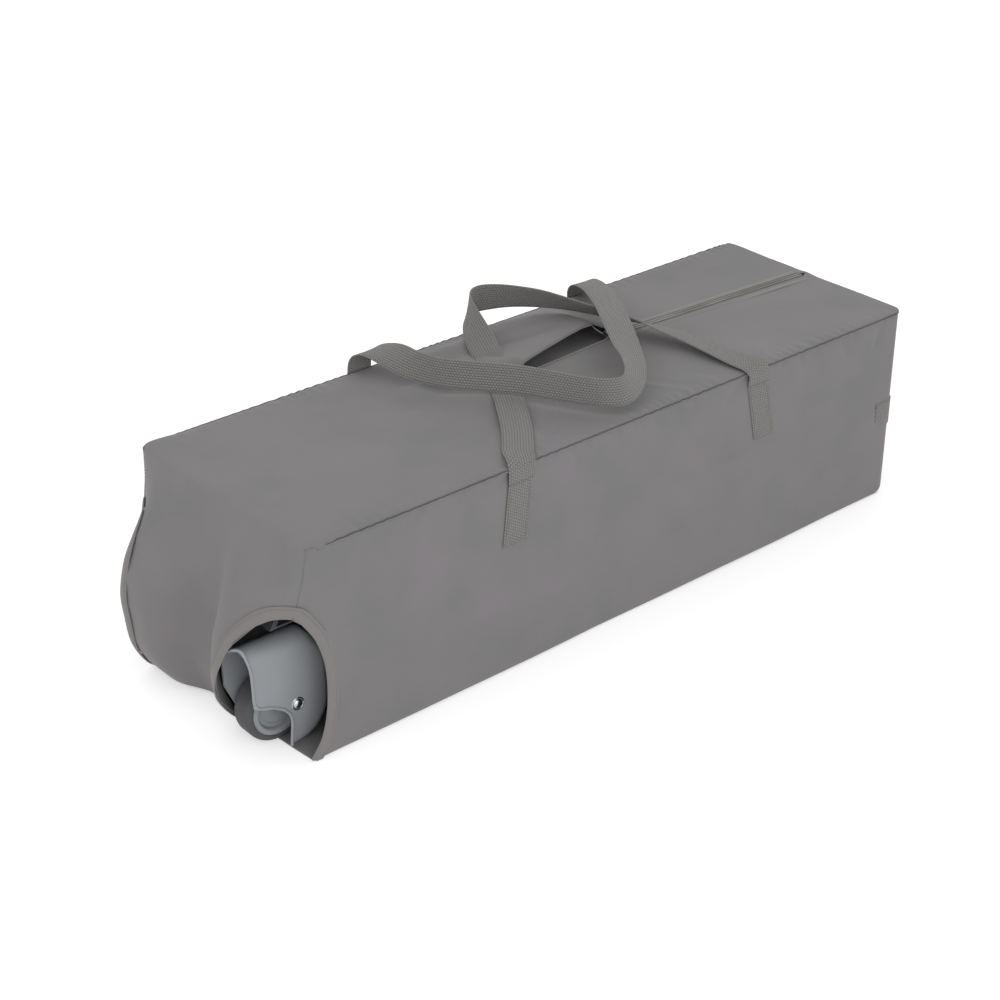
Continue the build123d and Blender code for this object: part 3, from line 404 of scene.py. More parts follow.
# Folds on the sides: from x, z, to x, z, width and height.
SIDE_FOLDS = (
    (-150, 222, -200, 186, 7, -2.2), (-135, 210, -95, 216, 6, -1.4), (-136, 195, -110, 150, 14, 1.4),
    (165, 222, 120, 196, 8, -1.8), (-380, 150, -300, 120, 22, 1.8), (-372, 60, -280, 40, 26, -1.6),
    (60, 60, 250, 110, 60, 2.4), (-200, 70, -60, 40, 50, 2.0), (-300, 190, -220, 150, 30, -1.4),
    (378, 130, 300, 150, 20, -1.2), (392, 60, 330, 20, 18, 1.2), (-168, 140, -210, 96, 14, -1.6),
    (-128, 140, -60, 90, 18, 1.8), (150, 140, 100, 90, 16, 1.4), (192, 150, 260, 120, 18, -1.6),
    (-300, 214, -280, 190, 7, 1.2), (-250, 216, -238, 196, 6, -1.2), (-60, 216, -44, 192, 8, 1.2),
    (20, 216, 34, 198, 6, -1.3), (90, 218, 112, 194, 7, 1.3), (250, 216, 270, 190, 8, -1.2),
    (330, 216, 346, 192, 7, 1.2), (-330, 20, -100, 4, 9, 1.6), (60, 14, 300, 6, 8, 1.4),
    (-262, 219, -274, 200, 5, -2.4), (-215, 219, -222, 204, 4, -2.0), (-84, 219, -74, 196, 5, -2.4),
    (-64, 219, -62, 206, 4, -2.0), (-28, 219, -16, 190, 6, -2.2), (6, 219, 8, 204, 4, -2.0),
    (52, 219, 66, 188, 6, -2.4), (78, 219, 80, 204, 4, -2.0), (204, 219, 222, 196, 6, -2.2),
    (232, 219, 236, 206, 4, -1.8), (296, 219, 310, 190, 6, -2.4), (316, 219, 320, 205, 4, -2.0),
    (362, 216, 352, 186, 6, -1.8),
)


def folds(u, v, table):
    """Sum of ridges: height times a bell curve of the distance to a line, fading at both its ends."""
    total = np.zeros_like(u)
    for u0, v0, u1, v1, width, height in table:
        run_u, run_v = u1 - u0, v1 - v0
        length = np.hypot(run_u, run_v)
        t = ((u - u0) * run_u + (v - v0) * run_v) / length**2
        gap = ((u - u0) * run_v - (v - v0) * run_u) / length
        fade = np.exp(-((np.abs(t - 0.5) / 0.55) ** 4))
        total += height * bell(gap, width) * fade
    return total


def ripple(u, v, seed_length):
    """Slow unevenness of hanging cloth: three crossing sine waves of unlike length, within 1 either way."""
    a = np.sin(u / seed_length + 0.6 * np.sin(v / (0.7 * seed_length)))
    b = np.sin((u + 1.3 * v) / (0.61 * seed_length) + 1.7)
    c = np.sin((0.8 * u - v) / (0.37 * seed_length) + 0.4)
    return 0.45 * a + 0.35 * b + 0.2 * c


def pucker(u):
    """Gathering along a sewn seam: short waves whose length wanders between about 8 and 16 mm."""
    return np.sin(u / 1.9 + 2.2 * np.sin(u / 23) + 1.4 * np.sin(u / 9.5)) * (0.6 + 0.4 * np.sin(u / 31 + 1))


def end_x(y, z):
    """The wheel end's cloth: the top edge less a depth that is shared between the lobes and the valley.

    The last 12 mm before each upright seam turn towards the side as a parabola, and above the far
    cut-out the cloth is drawn in.
    """
    power = np.where(np.abs(y) < LOBE_Y, 3.4, 4.0)
    share = np.exp(-((np.abs(np.abs(y) - LOBE_Y) / LOBE_WIDTH) ** power))
    between = np.interp(z, END_Z, END_BETWEEN)
    lobe = np.where(y > 0, np.interp(z, END_Z, END_LOBE_FAR), np.interp(z, END_Z, END_LOBE_NEAR))
    depth = between + (lobe - between) * share
    depth = depth * (1 - 0.8 * past(z, 100, 30) * bell(HALF_WIDTH - y, 18))
    turn = np.where(y > 0, 2.0, 7.0) * past(np.abs(y), 117, 12) ** 2 * past(z, 150, 12)
    return -HALF_LENGTH - depth + turn - 0.8 * ripple(y, z, 30)


def cut_at(table, z):
    """Where a cut-out's edge stands at each height: straight interpolation in its table."""
    pairs = sorted((row[1], row[0]) for row in table)
    return np.interp(z, [p[0] for p in pairs], [p[1] for p in pairs])


def height_rows():
    """Heights of the cloth's rows from floor to top, closer together by the cut-outs' tops and the seam."""
    return np.r_[np.linspace(FLOOR_GAP, 134, 32), np.linspace(138, 172, 20), np.linspace(175, 204, 9),
                 np.linspace(206, HEIGHT, 17)]


def top_height(x, y):
    """Height of the top cloth: level, slightly slack, folded near the mouth and turned down at its seams."""
    z = HEIGHT - 0.5 + 1.3 * ripple(x, y, 70) + folds(x, y, TOP_FOLDS)
    z -= 2.2 * (1 - (y / HALF_WIDTH) ** 2) * bell(x - 230, 120)    # it sags towards the zip end
    edge = HALF_WIDTH - np.abs(y)
    # level, turned down and gathered along the side seams
    z = HEIGHT - 0.6 + (z - HEIGHT + 0.6) * (1 - bell(edge, 16))
    z -= 1.6 * bell(edge, 1.3) + 1.2 * bell(edge, 6)
    z += pucker(x + 40 * np.sign(y)) * (1.3 * bell(edge, 12) - 0.9 * bell(edge, 4))
    # the far corner over the wheel end stands up, and the cloth is pulled level beside the zip
    z += 3.5 * bell(x + 392, 26) * bell(y - 128, 22)
    by_zip = bell(y - zip_line(x), 11) * past(x, 96, 16)
    return z + (HEIGHT - 0.4 - z) * by_zip


def closed_zip(x):
    """Middle of the closed zip: a straight line that crosses the bag at a small angle."""
    return ZIP_Y - ZIP_TURN * x


def zip_line(x):
    """Line of the zip over the top cloth, drawn towards the near side left of the slider."""
    return closed_zip(x) - np.where(x < 120, 23 * bell(x + 36, 62), 0)


def flap_rise(x, gap):
    """How high the far flap of the open mouth stands up, by the distance from its free edge.

    A broad ridge along the edge; towards the end of the zip, where the two edges are joined, it starts
    from nothing at the edge, and beyond that end it fades away.
    """
    before = FLAP_RISE[0] * bell(x - MOUTH_X[0], 15)
    crest = np.where(x > MOUTH_X[0], np.interp(x, MOUTH_X, FLAP_RISE), before) * (1 - past(x, MOUTH_X[-1], 6))
    loose = soft_step(past(x, MOUTH_X[0], 20))
    return crest * (loose + (1 - loose) * (1 - bell(gap, 12))) * bell(gap, 72)


def corner_trim(x, start):
    """How far a round corner takes the edge in, from where it starts: a quarter circle."""
    return CORNER * (1 - np.sqrt(1 - past(x, start, CORNER) ** 2))


def make_top():
    """The top cloth and the wheel end in one length, in two halves that meet along the zip line.

    Rows run from the zip end over the top and down the wheel end to the floor; columns run from each
    side seam to the zip line. The turn from top to end is rounded by blurring the rows.
    """
    x_rows = np.linspace(HALF_LENGTH - 1.0, -HALF_LENGTH + 2, 330)
    z_rows = height_rows()[::-1]
    flat = len(x_rows)
    line = zip_line(x_rows)
    closing = np.clip((HALF_LENGTH - 3.5 - x_rows) / 9, 0, 1)
    near_edge = line - ZIP_OPEN * closing
    far_edge = line + ZIP_OPEN * closing
    mouth = (x_rows >= MOUTH_X[0]) & (x_rows <= MOUTH_X[-1])
    near_edge[mouth] = np.interp(x_rows[mouth], MOUTH_X, NEAR_LIP)
    far_edge[mouth] = np.interp(x_rows[mouth], MOUTH_X, FAR_LIP)
    join = x_rows < MOUTH_X[0]
    drawn_to = NEAR_LIP[0]
    near_edge[join] = drawn_to + (line[join] - drawn_to) * (1 - bell(x_rows[join] - MOUTH_X[0], 60))
    far_edge[join] = near_edge[join]

    drawn = HALF_WIDTH - (HALF_WIDTH - SEAM_Y) * past(z_rows, CUT_TOP, 8) * past(HEIGHT - z_rows, 0, 12)
    low = np.where(z_rows >= CUT_TOP, -drawn, cut_at(NEAR_CUT, z_rows))
    high = np.where(z_rows >= CUT_TOP, drawn, cut_at(FAR_CUT, z_rows))
    centre_down = np.interp(z_rows, (0, HEIGHT), (35, near_edge[-1]))
    halves = []
    for side, edge, count in ((-1, near_edge, 54), (1, far_edge, 40)):
        share = np.linspace(0, 1, count) ** 1.5
        trim = corner_trim(x_rows, STRAIGHT)
        outer = np.r_[side * (HALF_WIDTH + 0.3 - trim), low if side < 0 else high]
        inner = np.r_[edge, centre_down]
        y = outer[:, None] + (inner - outer)[:, None] * share
        x = np.empty_like(y)
        z = np.empty_like(y)
        x[:flat] = x_rows[:, None]
        z[:flat] = top_height(x[:flat], y[:flat])
        if side > 0:
            gap = y[:flat] - edge[:, None]
            z[:flat] += flap_rise(x[:flat], gap) * (1 - bell(HALF_WIDTH - y[:flat], 13))
            z[:flat] += 0.8 * bell(gap, 5) * ((x_rows > MOUTH_X[-1]) * closing)[:, None]
        z[flat:] = z_rows[:, None]
        x[flat:] = end_x(y[flat:], z[flat:])
        place = np.stack([x, y, z], -1)
        weight = np.exp(-((np.arange(len(y)) - flat) / 20.0) ** 4)[:, None, None]
        halves.append(place + (blur(place, 5) - place) * weight)
    near, far = halves
    rows, near_columns, far_columns = len(near), near.shape[1], far.shape[1]
    start = rows * near_columns
    points = np.concatenate([near.reshape(-1, 3), far.reshape(-1, 3)])
    near_faces = grid_faces(rows, near_columns)
    far_faces = grid_faces(rows, far_columns, flip=True) + start
    # where the halves meet, the far half uses the near half's edge points
    merge = np.arange(len(points))
    seam_rows = np.nonzero(np.r_[join, np.ones(len(z_rows), bool)])[0]
    merge[start + (seam_rows + 1) * far_columns - 1] = (seam_rows + 1) * near_columns - 1
    faces = merge[np.vstack([near_faces, far_faces])]
    used = np.unique(faces)
    renumber = np.zeros(len(points), int)
    renumber[used] = np.arange(len(used))
    return points[used], renumber[faces]


def sew_cloth(name, points, faces, nodes, flat, held, rests_on):
    """A cloth of the bag, given its thickness on the inner side."""
    piece = make_piece(name, points, faces, "bag", cloth, "bag_cloth", nodes)
    area = float(polygon_values(piece.data, "area", 1).sum())
    solid = piece.modifiers.new("thickness", "SOLIDIFY")
    solid.thickness = CLOTH / 1000
    solid.offset = -1


sew_cloth("top_and_wheel_end_cloth", *make_top(), ("bag_top_near", "bag_top_far", "bag_wheel_end"),
          (0.275, 1.04), "stretched", "mattress_top")


def foot_turn(z):
    """How far the sides draw in at the floor: a parabola over the last 9 mm, where the cloth turns under."""
    return FOOT_TURN * np.clip(1 - z / 9, 0, 1) ** 2


def side_out(x, z):
    """How far the side cloth stands off its plane: slack low down, pulled flat by the handles' seams."""
    slack = 1.6 * np.sin(pi * np.clip(z / 150, 0, 1)) + 0.8 * ripple(x, z, 60)
    edge = HEIGHT - z
    out = slack * (1 - bell(edge, 30)) + folds(x, z, SIDE_FOLDS)
    out += 0.7 * (pucker(x + 3) - 0.8) * bell(edge, 10)
    out = np.minimum(out, np.where(z > 132, 0.2, 4.0))
    out -= 1.4 * bell(edge - 2.2, 1.3)
    from_seam = x - end_x(-SEAM_Y, z)
    turned = np.clip(1 - from_seam / 14, 0, 1) ** 2 * past(z, CUT_TOP, 8) * past(edge, 0, 12)
    return out - (HALF_WIDTH - SEAM_Y) * turned - foot_turn(z)


def make_band():
    """Both side cloths and the zip end's in one length round the bag.

    Rows are heights. Each row starts at the upright seam or the cut-out's edge on the near side, runs
    straight to the round corner, across the zip end, and back along the far side to the same place.
    """
    z_rows = height_rows()
    zed = np.where(z_rows > HEIGHT - 2, HEIGHT - 2.2, z_rows)[:, None]
    near_start = np.where(zed >= CUT_TOP, end_x(-SEAM_Y, zed), cut_at(NEAR_SIDE_CUT, zed))
    far_start = np.where(zed >= CUT_TOP, end_x(SEAM_Y, zed), cut_at(FAR_SIDE_CUT, zed))
    share = np.linspace(0, 1, 250) ** 1.08
    near_x = near_start + (STRAIGHT - near_start) * share
    far_x = (far_start + (STRAIGHT - far_start) * share)[:, ::-1]
    angle = np.linspace(-pi / 2, 0, 9)[1:]
    radius = CORNER - foot_turn(zed)
    arc_x = STRAIGHT + radius * np.cos(angle)
    arc_y = radius * np.sin(angle) - END_STRAIGHT
    end_y = np.linspace(-END_STRAIGHT, END_STRAIGHT, 60)[None, 1:-1] + 0 * zed
    end_out = 1.2 * ripple(end_y, zed, 45) + 1.5 * np.cos(pi * end_y / (2 * HALF_WIDTH))
    end_out = end_out - 2 * bell(HEIGHT - zed, 4) - foot_turn(zed)
    near_y = -HALF_WIDTH - side_out(near_x, zed)
    far_y = HALF_WIDTH + side_out(far_x, zed)
    x = np.concatenate([near_x, arc_x, HALF_LENGTH + end_out, arc_x[:, ::-1], far_x], 1)
    y = np.concatenate([near_y, arc_y, end_y, -arc_y[:, ::-1], far_y], 1)
    return np.stack([x, y, zed + 0 * x], -1)


band = make_band()
sew_cloth("side_and_zip_end_cloth", band.reshape(-1, 3), grid_faces(*band.shape[:2]),
          ("bag_side_near", "bag_side_far", "bag_zip_end"), (0.225, 1.85), "stretched", "bag_bottom")


def make_base():
    """The base cloth: its half width follows the two cut-outs' feet at the wheel end."""
    half_base = HALF_WIDTH - FOOT_TURN + 0.6
    x_rows = np.r_[np.linspace(-400, -380, 10), np.linspace(-374, HALF_LENGTH - FOOT_TURN, 120)]
    low = np.interp(x_rows, (-400, -394, -388), (-34, -125, -half_base))
    high = np.interp(x_rows, (-400, -394, -388), (103, 125, half_base))
    trim = corner_trim(x_rows, STRAIGHT - FOOT_TURN)
    share = np.linspace(0, 1, 60)
    y = (low + trim)[:, None] + ((high - trim) - (low + trim))[:, None] * share
    x = np.repeat(x_rows[:, None], y.shape[1], 1)
    z = 0.9 + 0.5 * ripple(x, y, 50) * (1 - bell(HALF_WIDTH - np.abs(y), 20))
    return np.stack([x, y, np.maximum(z, 0.5)], -1)


base = make_base()
sew_cloth("base_cloth", base.reshape(-1, 3), grid_faces(*base.shape[:2]), ("bag_bottom",),
          (0.262, 0.8), "laid", "floor")


def seam_cord(name, x, y, z, radius):
    """The dark line of a sewn seam: a dark cord of painted shade along the groove between two cloths, a
    circle carried along it.
    """
    path = np.stack([x, y, z], 1)
    heading = heading_of(path)
    across = unit(np.cross([[0.0, 0.31, 0.95]], heading))
    points, faces = carry_profile(path, across, np.cross(heading, across), circle(radius, 6))
    make_piece(name, points, faces, "bag", seam_shadow, "bag_cloth")


seam_x = np.linspace(-380, STRAIGHT, 560)
low_end = 3.0 * np.clip((-350 - seam_x) / 34, 0, 1) ** 2
for side, label in SIDES:
    seam_cord(f"top_seam_{label}", seam_x, side * (HALF_WIDTH - 0.2 + 0 * seam_x),
              TOP_SEAM_Z + 0.4 * pucker(seam_x + 40 * side) - low_end, 0.5)
turn = np.linspace(-pi / 2, pi / 2, 9)
corner_x = STRAIGHT + (CORNER - 0.3) * np.cos(turn)
corner_y = (CORNER - 0.3) * np.sin(turn)
seam_y = np.r_[corner_y[:4] - END_STRAIGHT, np.linspace(-END_STRAIGHT, END_STRAIGHT, 90),
               corner_y[5:] + END_STRAIGHT]
seam_end_x = np.r_[corner_x[:4], np.full(90, HALF_LENGTH - 0.4), corner_x[5:]]
seam_cord("top_seam_zip_end", seam_end_x, seam_y, TOP_SEAM_Z - 0.1 + 0.3 * pucker(seam_y), 0.55)


# ---- binding round the cut-outs
def cut_path(side, side_cut, end_cut):
    """Middle of the binding round one cut-out, from the floor by the side, over the top and down the end.

    It keeps 4 mm inside the cloth's cut edge and stands about half a millimetre off the cloth.
    """
    side_part = [(x + 4.0, side * (HALF_WIDTH + 0.6 - float(foot_turn(z))),
                  max(z + 2.5 * (z > 120), FLOOR_GAP)) for x, z in side_cut[:-1]]
    top = [(float(end_x(side * SEAM_Y, 161.0)) + 1.5, side * (HALF_WIDTH - 1.2), 161.5)]
    raised = [(y - side * 4.0, z + 4.0 * (z > 120)) for y, z in end_cut[1:]]
    end_part = [(float(end_x(y, z)) - 0.6, y, max(z, FLOOR_GAP)) for y, z in raised]
    return smooth_path(side_part + top + end_part, 2.0)


def cloth_normal(path, side):
    """Outward direction of the cloth under the binding: the side's, turning to the wheel end's."""
    y, z = path[:, 1], path[:, 2]
    slope_y = (end_x(y + 1, z) - end_x(y - 1, z)) / 2
    slope_z = (end_x(y, z + 1) - end_x(y, z - 1)) / 2
    on_end = unit(np.stack([-np.ones_like(y), slope_y, slope_z], 1))
    share = past(np.abs(y), HALF_WIDTH - 9, 9)[:, None]
    return unit(blur(np.array([[0.0, side, 0.0]]) * share + on_end * (1 - share), 5))


def ring(width, thick, count=6, crown=0.4, groove=None):
    """Closed profile of a flat tape: rounded edges, a slightly crowned face and, if asked, a sewn groove."""
    b = np.linspace(-width / 2, width / 2, count)
    face = thick / 2 + crown * (1 - (2 * b / width) ** 2)
    if groove is not None:
        face = face - 0.6 * bell(b - groove, 0.55)
    edge = width / 2 + thick * 0.35
    return np.stack([np.r_[b, edge, b[::-1], -edge], np.r_[face, 0, np.full(count, -thick / 2), 0]], 1)


def strip_weave(path, profile):
    """Cloth coordinates of a carried profile, in metres: across from the profile, along from the path."""
    across = np.tile(profile[:, 0], len(path)) / 1000
    along_run = np.repeat(run_along(path), len(profile)) / 1000
    return np.stack([across, along_run], 1)


def stitches(name, path, out, lift):
    """A row of sewing stitches: short six-sided bars with tapered ends, laid along the path."""
    out = out + 0 * path
    run = run_along(path)
    starts = np.arange(1.0, run[-1] - STITCH, STITCH_PITCH)
    at = starts[:, None] + np.array([0, 0.25, 0.75, 1]) * STITCH
    place = np.stack([np.interp(at, run, path[:, k]) for k in range(3)], -1)
    normal = unit(np.stack([np.interp(at, run, out[:, k]) for k in range(3)], -1))
    heading = unit(place[:, -1:] - place[:, :1]) + 0 * place
    across = unit(np.cross(heading, normal))
    across, normal = across[:, :, None], normal[:, :, None]
    radius = np.array([0.12, 0.42, 0.42, 0.12])[:, None, None]
    cosine, sine = circle(1.0, 6).T[:, :, None]
    points = place[:, :, None] + lift * normal + radius * (cosine * across + sine * normal)
    first = (np.arange(len(starts)) * 24)[:, None, None]
    sides = (grid_faces(4, 6, wrap=True)[None] + first).reshape(-1, 4)
    caps = (np.array([[5, 4, 3, 2, 1, 0], [18, 19, 20, 21, 22, 23]])[None] + first).reshape(-1, 6)
    make_piece(name, points.reshape(-1, 3), sides.tolist() + caps.tolist(), "bag", thread, "webbing")


def lay_tape(name, path, across, out, profile, body, material, slot, nodes):
    """A tape or strap: its profile carried along a path off the floor, with its weave."""
    points, faces = carry_profile(path, across, out, profile)
    points[:, 2] = np.maximum(points[:, 2], FLOOR_GAP / 2)
    piece = make_piece(name, points, faces, body, material, slot, nodes, strip_weave(path, profile))


seam_z = np.linspace(170, 212, 40)
for side, end_name, *cuts in ((-1, "near", NEAR_SIDE_CUT, NEAR_CUT), (1, "far", FAR_SIDE_CUT, FAR_CUT)):
    seam_y = side * SEAM_Y + 0 * seam_z
    seam_line = np.stack([end_x(seam_y, seam_z), seam_y, seam_z], 1)
    stitches(f"upright_seam_stitches_{end_name}", seam_line, np.array([-0.45, 0.9 * side, 0.0]), 0.0)
    path = cut_path(side, *cuts)
    heading = heading_of(path)
    across = unit(np.cross(heading, cloth_normal(path, side)))
    out = unit(np.cross(across, heading))
    sewn_row = SEWN_ROW if across[:20, 0].mean() > 0 else -SEWN_ROW
    profile = ring(BINDING, 1.6, count=23, groove=sewn_row) + (0, 0.5)
    lay_tape(f"cutout_binding_tape_{end_name}", path, across, out, profile, "bag", binding_tape,
             "binding", (f"cutout_binding_{end_name}",))
    stitches(f"binding_stitches_{end_name}", path + sewn_row * across, out, 1.15)


# ---- webbing
# Each station of a strip is its middle and the direction of its width.
ALONG = (1, 0, 0)
BACK = (-1, 0, 0)
UPRIGHT = (0, 0, 1)
LEG_Y = HALF_WIDTH + SIDE_GAP
NEAR_LOOP = (
    ((-150, -LEG_Y, PIVOT_Z), ALONG), ((-150, -LEG_Y, 211), ALONG), ((-149.6, -131.2, 217.5), ALONG),
    ((-148.5, -129.6, 222.4), ALONG), ((-146, -124.5, 225.2), ALONG), ((-141, -116, 226), ALONG),
    ((-130, -103, 226), (0.97, -0.25, 0)), ((-113, -82, 226), (0.9, -0.43, 0)),
    ((-93, -54, 225.8), (0.86, -0.51, 0)), ((-73, -23, 225.8), (0.87, -0.49, 0)),
    ((-55, 10, 225.8), (0.88, -0.47, 0)), ((-38, 44, 229), (0.88, -0.43, 0.2)),
    ((-25, 74, 235), (0.79, -0.42, 0.44)), ((-15, 99, 242), (0.49, -0.44, 0.76)),
    ((-4, 120, 248), (0.14, -0.34, 0.93)), ((7, 131, 251), (-0.08, -0.15, 0.99)), ((20, 134, 252), UPRIGHT),
    ((36, 128, 252), (0, -0.12, 0.99)), ((54, 117, 251), (-0.1, -0.32, 0.94)),
    ((77, 98, 248), (-0.28, -0.42, 0.86)), ((95, 73, 245), (-0.5, -0.45, 0.74)),
    ((111, 43, 241.5), (-0.63, -0.43, 0.65)), ((128, 13, 238), (-0.71, -0.46, 0.54)),
    ((143, -14, 233), (-0.88, -0.36, 0.3)), ((154, -50, 229), (-0.97, -0.14, 0.18)),
    ((157, -88, 227), (-0.99, 0, 0.1)), ((159, -112, 226), BACK), ((162, -123.5, 225.3), BACK),
    ((165, -129.6, 222.4), BACK), ((167.2, -131.2, 217.5), BACK), ((168, -LEG_Y, 211), BACK),
    ((168, -LEG_Y, PIVOT_Z), BACK),
)
FAR_LOOP = (
    ((-138, LEG_Y, PIVOT_Z), ALONG), ((-138, LEG_Y, 216), ALONG), ((-137, 130.6, 230), ALONG),
    ((-135, 126, 239), ALONG), ((-131, 116, 244), (0.98, 0.1, 0.1)), ((-128, 101, 246), (0.9, 0.1, 0.35)),
    ((-126, 84, 246), (0.7, 0, 0.7)), ((-123, 60, 245), (0.35, 0, 0.93)),
    ((-114, 36, 244), (0.15, 0.05, 0.98)), ((-98, 13, 243.5), (0.18, 0.1, 0.98)),
    ((-80, -9, 243.5), (0.15, 0.1, 0.98)), ((-62, -33, 243.5), (0.13, 0.1, 0.98)),
    ((-48, -60, 243.5), (0.1, 0.1, 0.99)), ((-34, -88, 244), UPRIGHT), ((-21, -108, 245), UPRIGHT),
    ((-4, -116, 246), (-0.13, 0.22, 0.97)), ((16, -106, 249), (-0.44, 0.44, 0.78)),
    ((37, -83, 252), (-0.7, 0.52, 0.48)), ((54, -56, 254), (-0.84, 0.5, 0.22)),
    ((69, -32, 256), (-0.85, 0.51, 0.1)), ((85, -7, 257), (-0.85, 0.52, 0.04)),
    ((103, 20, 256), (-0.85, 0.52, 0)), ((122, 50, 253), (-0.86, 0.5, 0)), ((140, 81, 248), (-0.9, 0.43, 0)),
    ((151, 106, 243), (-0.97, 0.22, 0)), ((156, 121, 237), (-1, 0.05, 0)), ((159, 129.6, 228), BACK),
    ((160, LEG_Y, 216), BACK), ((160, LEG_Y, PIVOT_Z), BACK),
)


def webbing_strip(name, stations, body, nodes, cut_level=False):
    """A woven strip: a flat profile with rounded edges, carried along the smooth path of its stations.

    Its width is square to its run, except where the ends are cut level.
    """
    table = smooth_path([(*middle, *across) for middle, across in stations], 2.5)
    path, across = table[:, :3], table[:, 3:]
    heading = heading_of(path)
    if not cut_level:
        across = across - heading * np.sum(across * heading, 1, keepdims=True)
    across = unit(blur(across, 2))
    out = unit(np.cross(across, heading))
    profile = ring(WEBBING - 1, WEBBING_THICK - 0.2, count=9, crown=0.1)
    lay_tape(name, path, across, out, profile, body, webbing, "webbing", nodes)


for side_name, loop in (("near", NEAR_LOOP), ("far", FAR_LOOP)):
    handle = f"carry_handle_{side_name}"
    webbing_strip(f"{side_name}_handle_webbing", loop, handle, (handle,))

for side, places, leans in ((-1, (-150, 168), (-7, 14)), (1, (-138, 160), (0, 0))):
    for place, lean, which in zip(places, leans, ("left", "right")):
        label = f"{'near' if side < 0 else 'far'}_{which}"
        lift = side * (HALF_WIDTH + WEBBING_THICK / 2 + 0.1)
        middles = [(place + lean * down, lift, PIVOT_Z - PATCH_HEIGHT * down) for down in (1, 0.5, 0)]
        node = ("handle_ends",) if label == "near_left" else ()
        webbing_strip(f"sewn_end_{label}", [(middle, ALONG) for middle in middles], "bag", node,
                      cut_level=True)
        half = WEBBING / 2 - 3
        z0, z1 = PIVOT_Z - PATCH_HEIGHT + 3, PIVOT_Z - 4
        x0, x1 = place + lean * 0.96, place + lean * 0.05
        corners = np.array([(x0 - half, lift, z0), (x0 + half, lift, z0), (x1 + half, lift, z1),
                            (x1 - half, lift, z1), (x0 - half, lift, z0)])
        line = np.vstack([np.linspace(a, b, 12, endpoint=False) for a, b in zip(corners, corners[1:])])
        stitches(f"sewn_end_stitches_{label}", line, np.array([0.0, side, 0.0]), 0.95)

# The grab handle stands off the zip end as a fourth power of its width, between two ends sewn to the sides.
grab = [((HALF_LENGTH + 1.5 + 11.5 * (1 - y**4), 116 * y, GRAB_Z), UPRIGHT) for y in np.linspace(-1, 1, 15)]
grab_near = [((362, -131, GRAB_Z), UPRIGHT), ((376, -131, GRAB_Z), UPRIGHT), ((386, -129.6, GRAB_Z), UPRIGHT),
             ((393, -124.5, GRAB_Z), UPRIGHT)]
grab_far = [((x, -y, z), across) for (x, y, z), across in grab_near[::-1]]
webbing_strip("end_grab_webbing", grab_near + grab + grab_far, "bag", ("end_grab_handle",))


# ---- zip
def zip_row(name, edge_y, edge_z, node):
    """Zip coil: a tube along the cloth's edge whose radius swells once for each tooth, on a woven tape."""
    x = np.arange(MOUTH_X[0] + 6, ZIP_END, TOOTH_PITCH / 4)
    path = np.stack([x, edge_y(x), edge_z(x)], 1)
    across = unit(np.cross([UPRIGHT], heading_of(path)))
    swell = (0.66 + 0.26 * np.abs(np.sin(pi * x / TOOTH_PITCH)))[:, None]
    points, faces = carry_profile(path, swell * across, swell * [UPRIGHT], circle(1.0, 8))
    make_piece(name, points, faces, "bag", zip_nylon, "zip_tape", (node,))


def lip(table, offset, straight):
    """A line that follows the mouth's edge, moved sideways, and blends into the closed zip's line."""
    def line(x):
        closed = soft_step(past(x, 96, 14))
        return (1 - closed) * (np.interp(x, MOUTH_X, table) + offset) + closed * (closed_zip(x) + straight)
    return line


def coil_height(line, below, lift):
    """Height of a coil: just below the mouth's edge, lifted with the far flap, then the closed zip's."""
    def height(x):
        closed = past(x, 94, 12)
        open_z = top_height(x, line(x)) - below + lift * flap_rise(x, 0 * x)
        return (1 - closed) * open_z + closed * COIL_Z
    return height


near_line = lip(NEAR_LIP, 1.6, -COIL_OUT)
far_line = lip(FAR_LIP, 0.5, COIL_OUT)
zip_row("zip_coil_near", near_line, coil_height(near_line, 0.3, 0), "zip_row_near")
zip_row("zip_coil_far", far_line, coil_height(far_line, 1.4, 1), "zip_row_far")

# Woven tapes that carry the coils: flat strips just under the cloth's edges.
x = np.linspace(112, ZIP_END, 70)
for side, label in SIDES:
    path = np.stack([x, closed_zip(x) + side * TAPE_OUT, COIL_Z - 1.25 + 0 * x], 1)
    across = unit(np.cross([UPRIGHT], heading_of(path)))
    lay_tape(f"zip_tape_{label}", path, across, np.array([UPRIGHT]), ring(ZIP_TAPE, 0.4, crown=0.05),
             "bag", zip_tape, "zip_tape", ())
x = np.linspace(125, STRAIGHT, 160)
y = closed_zip(x) - 12
stitches("zip_stitches_near", np.stack([x, y, top_height(x, y)], 1), np.array(UPRIGHT), 0.15)


# ---- mattress
def pad(name, node):
    """A quilted panel: a box whose faces crown between its edges by a share of its thickness.

    Each face point goes out from the panel's middle by the sixth-root norm, which rounds the edges, and
    shallow sewn channels cross it.
    """
    low, high = (np.array(p) * 1000 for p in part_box(node))
    centre, half = (low + high) / 2, (high - low) / 2
    u = np.linspace(0, 2 * pi, 96, endpoint=False)
    v = np.linspace(-1, 1, 150)
    thin = int(np.argmin(half))
    wide = 3 - thin
    c, s = np.cos(u), np.sin(u)
    norm = (np.abs(c) ** 6 + np.abs(s) ** 6) ** (1 / 6)
    taper = (1 - np.abs(v) ** 30) ** (1 / 6)
    channel = 1 - 0.12 * bell((v * half[0]) % MATTRESS_SEAM - MATTRESS_SEAM / 2, 5)
    points = np.empty((len(v), len(u), 3))
    points[..., 0] = centre[0] + half[0] * v[:, None]
    points[..., wide] = centre[wide] + half[wide] * (c / norm) * taper[:, None]
    points[..., thin] = centre[thin] + half[thin] * (s / norm) * (taper * channel)[:, None]
    panel = make_piece(name, points.reshape(-1, 3), grid_faces(len(v), len(u), wrap=True), "bag",
                       mattress_cover, "mattress_cover", (node,))


